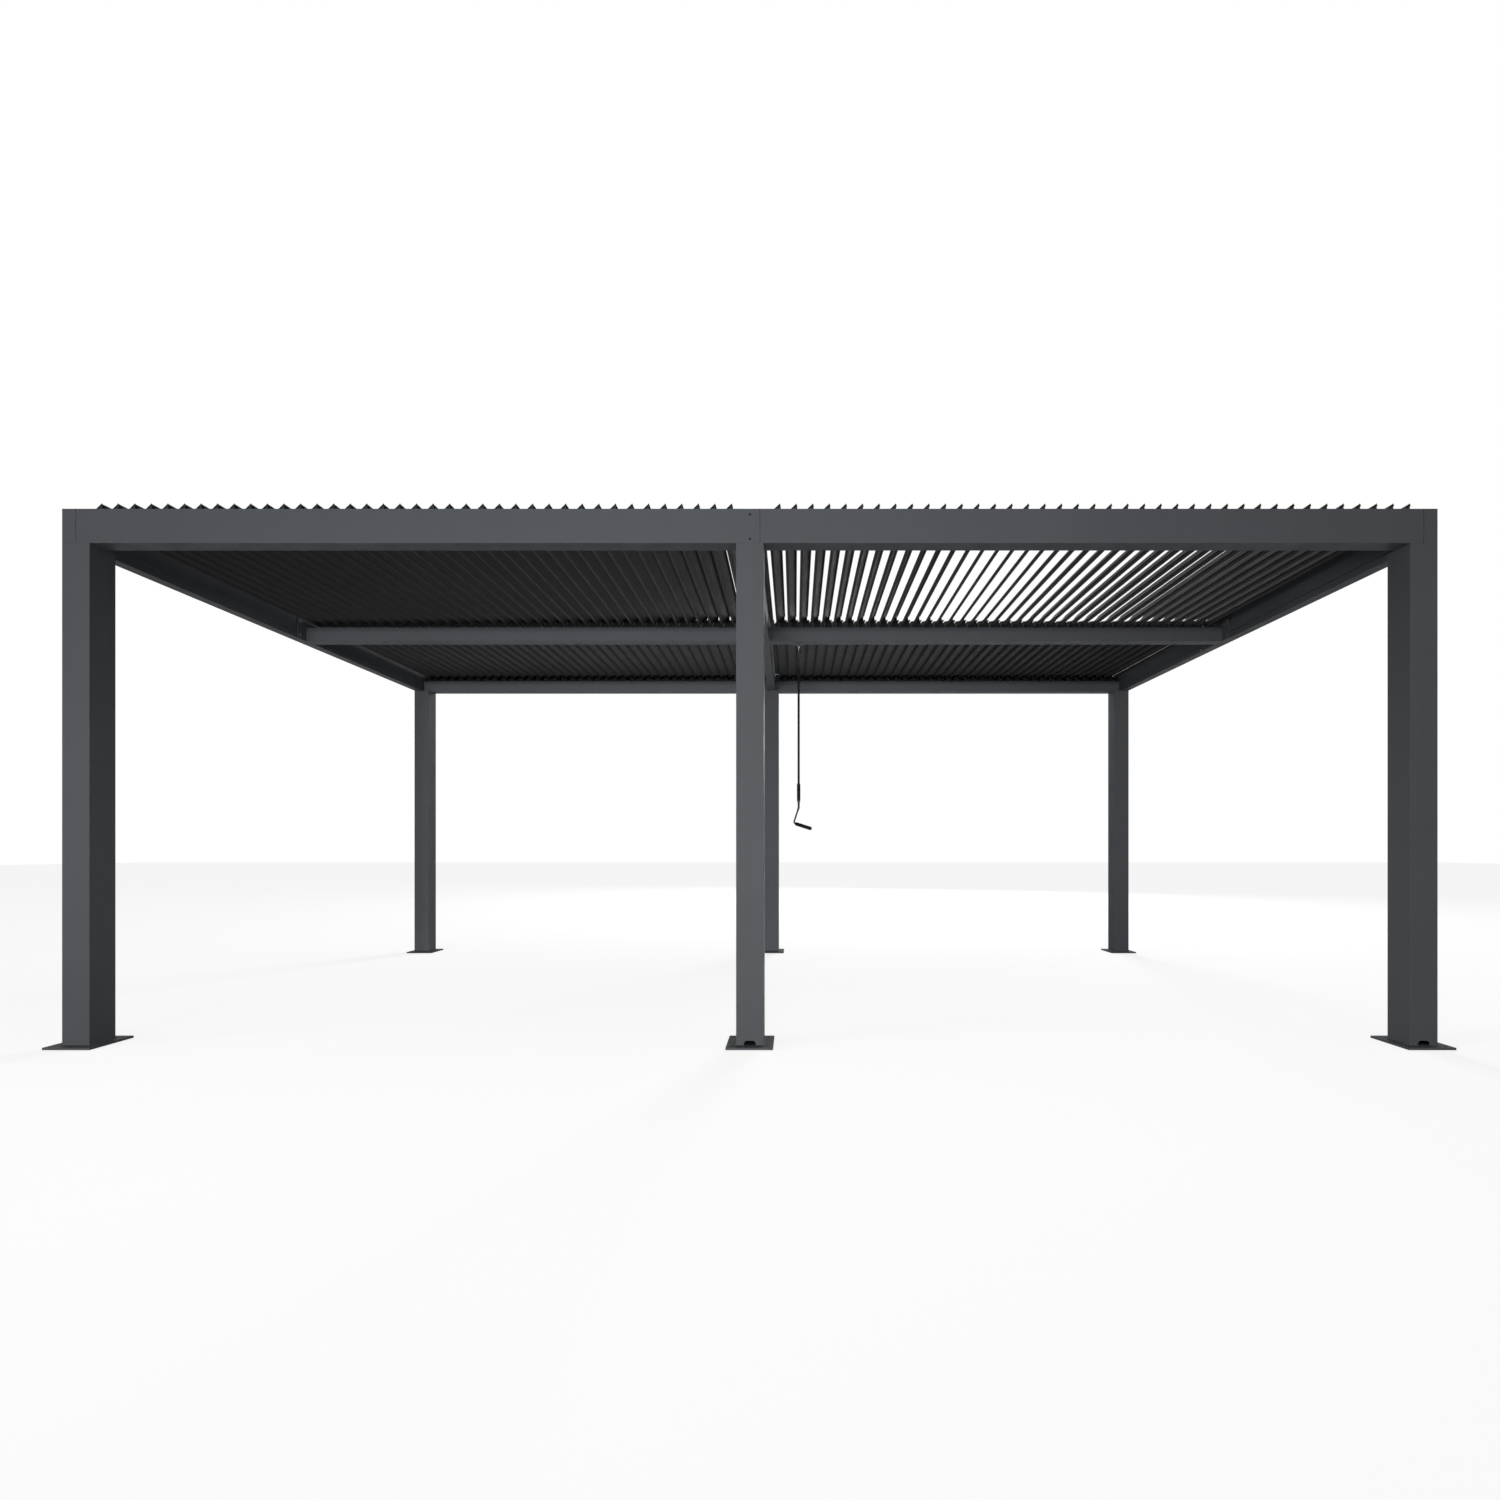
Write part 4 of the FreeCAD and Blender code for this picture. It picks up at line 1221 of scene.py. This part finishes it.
@dataclass(frozen=True)
class CrankHandle(Fitting):
    """The turning sleeve, the folding arm and the grip."""

    grip: GripShape = field(default_factory=GripShape)
    sleeve_bore: float = 0.66
    grip_radius: float = 0.012
    grip_bore: float = 0.0056
    grip_room: float = 0.009
    grip_length: float = 0.112
    arm_radius: float = 0.0055
    arm_bend: float = 0.013
    arm_lap: float = 0.006
    arm_stop: float = 0.004
    bend_steps: int = 12
    ear_radius: float = 0.0075
    ear_foot: float = 0.8
    ear_steps: int = 12
    ear_gap: float = 0.0043
    ear_thickness: float = 0.003
    fork_length: float = 0.022
    bridge_height: float = 0.006
    bridge_corner: float = 0.001
    bridge_drop: float = 0.004
    pin_radius: float = 0.0048
    pin_core: float = 0.0029
    pin_head: float = 0.0018
    pin_rim: float = 0.8

    def build(self) -> None:
        """Build the sleeve, the arm and the grip from the joints of the frame."""
        box = Extent.of("rod_sleeve")
        radius = box.size.x / 2
        sleeve = Workpiece("turning_sleeve")
        self.grip.add_to(sleeve, radius * self.sleeve_bore, radius, box.size.z,
                         Facing.DOWN.at(box.middle.x, box.middle.y, box.high.z))
        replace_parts(sleeve.done(self.shop, Slot.GRIP, Body.SLEEVE), "rod_sleeve")
        elbow, across = self.shop.joint("elbow_fold")
        corner, along = self.shop.joint("grip_spin")
        self._arm(elbow, corner, along, across)
        turn = UP.rotation_difference(along).to_matrix().to_4x4()
        grip = Workpiece("hand_grip")
        self.grip.add_to(grip, self.grip_bore, self.grip_radius, self.grip_length,
                         Matrix.Translation(corner + along * self.grip_room) @ turn)
        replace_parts(grip.done(self.shop, Slot.GRIP, Body.GRIP), "crank_grip")

    def _arm(self, elbow: Vector, corner: Vector, along: Vector, across: Vector) -> None:
        """Build the fork, its pin and the bent bar as one piece.

        Args:
            elbow: The middle of the elbow pin.
            corner: Where the arm's axis meets the grip's.
            along: Direction of the grip.
            across: Direction of the elbow pin.
        """
        down = (corner - elbow).normalized()
        bend = corner - down * self.arm_bend + along * self.arm_bend
        path = [elbow + down * (self.fork_length - self.arm_lap), elbow + down * self.fork_length]
        for step in range(self.bend_steps + 1):
            angle = math.pi / 2 * step / self.bend_steps
            path.append(bend - along * self.arm_bend * math.cos(angle)
                        + down * self.arm_bend * math.sin(angle))
        path.append(corner + along * (self.grip_room + self.grip_length + self.arm_stop))
        arm = Workpiece("folding_arm")
        arm.tube(path, self.arm_radius, across)
        knuckle = (Matrix.Translation(elbow)
                   @ Matrix((along, across.cross(along), across)).transposed().to_4x4())
        ear = self._ear_outline()
        reach = self.ear_gap + self.ear_thickness
        for low in (-reach, self.ear_gap):
            arm.prism(ear, self.ear_thickness, knuckle @ Matrix.Translation((0, 0, low)))
        bridge = rounded_outline(2 * self.arm_radius, self.bridge_height, self.bridge_corner, 2)
        arm.prism(bridge, 2 * reach, knuckle @ Matrix.Translation(
            (0, self.fork_length - self.bridge_drop, -reach)))
        head = [(self.pin_core, reach - OVERLAP), (self.pin_radius, reach - OVERLAP),
                (self.pin_radius, reach + self.pin_head / 2),
                (self.pin_radius * self.pin_rim, reach + self.pin_head),
                (0.0, reach + self.pin_head)]
        arm.turned([*((radius, -height) for radius, height in reversed(head)), *head], knuckle,
                   segments=24)
        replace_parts(arm.done(self.shop, Slot.PAINT, Body.ARM), "crank_arm")

    def _ear_outline(self) -> list[Pair]:
        """Return the outline of one ear of the fork; Y runs down the arm."""
        angles = [math.pi * step / self.ear_steps for step in range(self.ear_steps + 1)]
        half = self.ear_radius * self.ear_foot
        return [*((self.ear_radius * math.cos(angle), -self.ear_radius * math.sin(angle))
                  for angle in angles), (-half, self.fork_length), (half, self.fork_length)]


# The studio


@dataclass(frozen=True)
class Lamp:
    """A soft rectangular lamp that looks at a point, with its spread in degrees."""

    name: str
    place: Point
    aim: Point
    size: Pair
    power: float
    spread: float = 180.0

    def hang(self) -> None:
        """Hang the lamp where it lights the pergola, unseen by the camera."""
        data = bpy.data.lights.new(self.name, "AREA")
        data.shape = "RECTANGLE"
        data.size, data.size_y = self.size
        data.energy = self.power
        data.spread = math.radians(self.spread)
        lamp = bpy.data.objects.new(self.name, data)
        lamp.location = self.place
        sight = Vector(self.aim) - Vector(self.place)
        lamp.rotation_euler = sight.to_track_quat("-Z", "Y").to_euler()
        lamp.visible_camera = False
        bpy.context.scene.collection.objects.link(lamp)


@dataclass(frozen=True)
class Studio:
    """A plain floor, soft light and the camera at the photograph's angle."""

    camera_place: Point = (0.197, -4.609, 0.861)
    lens: float = 17.11
    sensor: float = 36.0
    shift: Pair = (-0.030, 0.0667)
    clip: Pair = (0.05, 300.0)
    sky_low: float = 0.61
    sky_high: float = 0.15
    sky_bend: Pair = (0.05, 0.45)
    floor_size: float = 90.0
    floor_grey: float = 0.12
    floor_pale: float = 0.8
    floor_roughness: float = 0.9
    floor_glow: float = 0.76
    lamps: tuple[Lamp, ...] = (
        Lamp("key_light", (-0.8, -23.5, 0.75), (-0.9, 0.0, 1.4), (5.0, 1.2), 93.0, 27.0),
        Lamp("side_light", (-9.5, -5.5, 1.0), (3.0, -1.44, 0.5), (3.0, 1.6), 12.0, 26.0),
        Lamp("back_light", (3.0, 10.0, 4.5), (0.0, 0.0, 1.5), (4.0, 4.0), 280.0),
        Lamp("under_light", (-0.4, 0.2, 0.02), (-0.4, 0.2, 2.3), (5.6, 2.5), 19.0),
    )

    def build(self) -> None:
        """Build the camera, the sky, the floor and the lamps."""
        self._camera()
        self._sky()
        self._floor()
        for lamp in self.lamps:
            lamp.hang()
        bpy.context.scene.view_settings.view_transform = "Standard"
        LOG.info("studio: camera at %s, %d lamps", self.camera_place, len(self.lamps))

    def _camera(self) -> None:
        """Place the camera level, with the photograph's framing as lens shift."""
        data = bpy.data.cameras.new("portrait")
        data.sensor_fit = "HORIZONTAL"
        data.sensor_width = self.sensor
        data.lens = self.lens
        data.shift_x, data.shift_y = self.shift
        data.clip_start, data.clip_end = self.clip
        camera = bpy.data.objects.new("portrait", data)
        camera.location = self.camera_place
        camera.rotation_euler = (math.pi / 2, 0.0, 0.0)
        bpy.context.scene.collection.objects.link(camera)
        bpy.context.scene.camera = camera

    @staticmethod
    def _seen(desk: NodeDesk) -> Socket:
        """Return 1 for rays that show the backdrop itself: camera, glossy and transmission."""
        path = desk.add("LightPath")
        mirror = desk.math("MAXIMUM", path["Is Glossy Ray"], path["Is Transmission Ray"])
        return desk.math("MAXIMUM", path["Is Camera Ray"], mirror)

    def _sky(self) -> None:
        """Make the sky white to look at, and as a light soft and strongest near the ground."""
        world = bpy.data.worlds.new("studio_sky")
        world.use_nodes = True
        bpy.context.scene.world = world
        desk = NodeDesk(world.node_tree)
        height = desk.upright(desk.add("TexCoord")["Generated"])
        light = desk.stretch(height, self.sky_low, self.sky_high, *self.sky_bend)
        desk.feed(world.node_tree.nodes["Background"],
                  {"Color": WHITE, "Strength": desk.stretch(self._seen(desk), light, 1.0)})

    def _floor(self) -> None:
        """Lay a floor that looks white, keeps the shadow and throws little light back up."""
        half = self.floor_size / 2
        data = bpy.data.meshes.new("studio_floor")
        corners = [(x, y, 0.0) for x, y in rectangle(-half, half, -half, half)]
        data.from_pydata(corners, [], [(0, 1, 2, 3)])
        floor = bpy.data.objects.new("studio_floor", data)
        bpy.context.scene.collection.objects.link(floor)
        material = bpy.data.materials.new("studio_floor")
        material.use_nodes = True
        desk = NodeDesk(material.node_tree)
        seen = self._seen(desk)
        shade = desk.stretch(seen, self.floor_grey, self.floor_pale)
        desk.feed(material.node_tree.nodes["Principled BSDF"], {
            "Base Color": desk.scaled(WHITE[:3], shade), "Roughness": self.floor_roughness,
            "Specular IOR Level": 0.0, "Emission Color": WHITE,
            "Emission Strength": desk.math("MULTIPLY", seen, self.floor_glow)})
        data.materials.append(material)


def main() -> None:
    """Load the frame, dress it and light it."""
    logging.basicConfig(level=logging.INFO, format="%(name)s: %(message)s")
    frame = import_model()
    fields = [BladeField(f"louvres_{row}_{column}", math.radians(tilt))
              for row, tilt in (("front", 51.0), ("back", 8.0)) for column in ("left", "right")]
    shop = Workshop(frame, Finishes(Extent.of("rod_sleeve").low.z), fields)
    for fitting in (FrameNodes, JointScrews, PaintedSeamShadow, BracketScrews, FootWelds,
                    GutterStrainers, RainSeals, GrooveInlays, PivotClips, BladeCaps,
                    GearboxHousing, CrankHandle):
        fitting(shop).build()
    Studio().build()


if __name__ == "__main__":
    main()
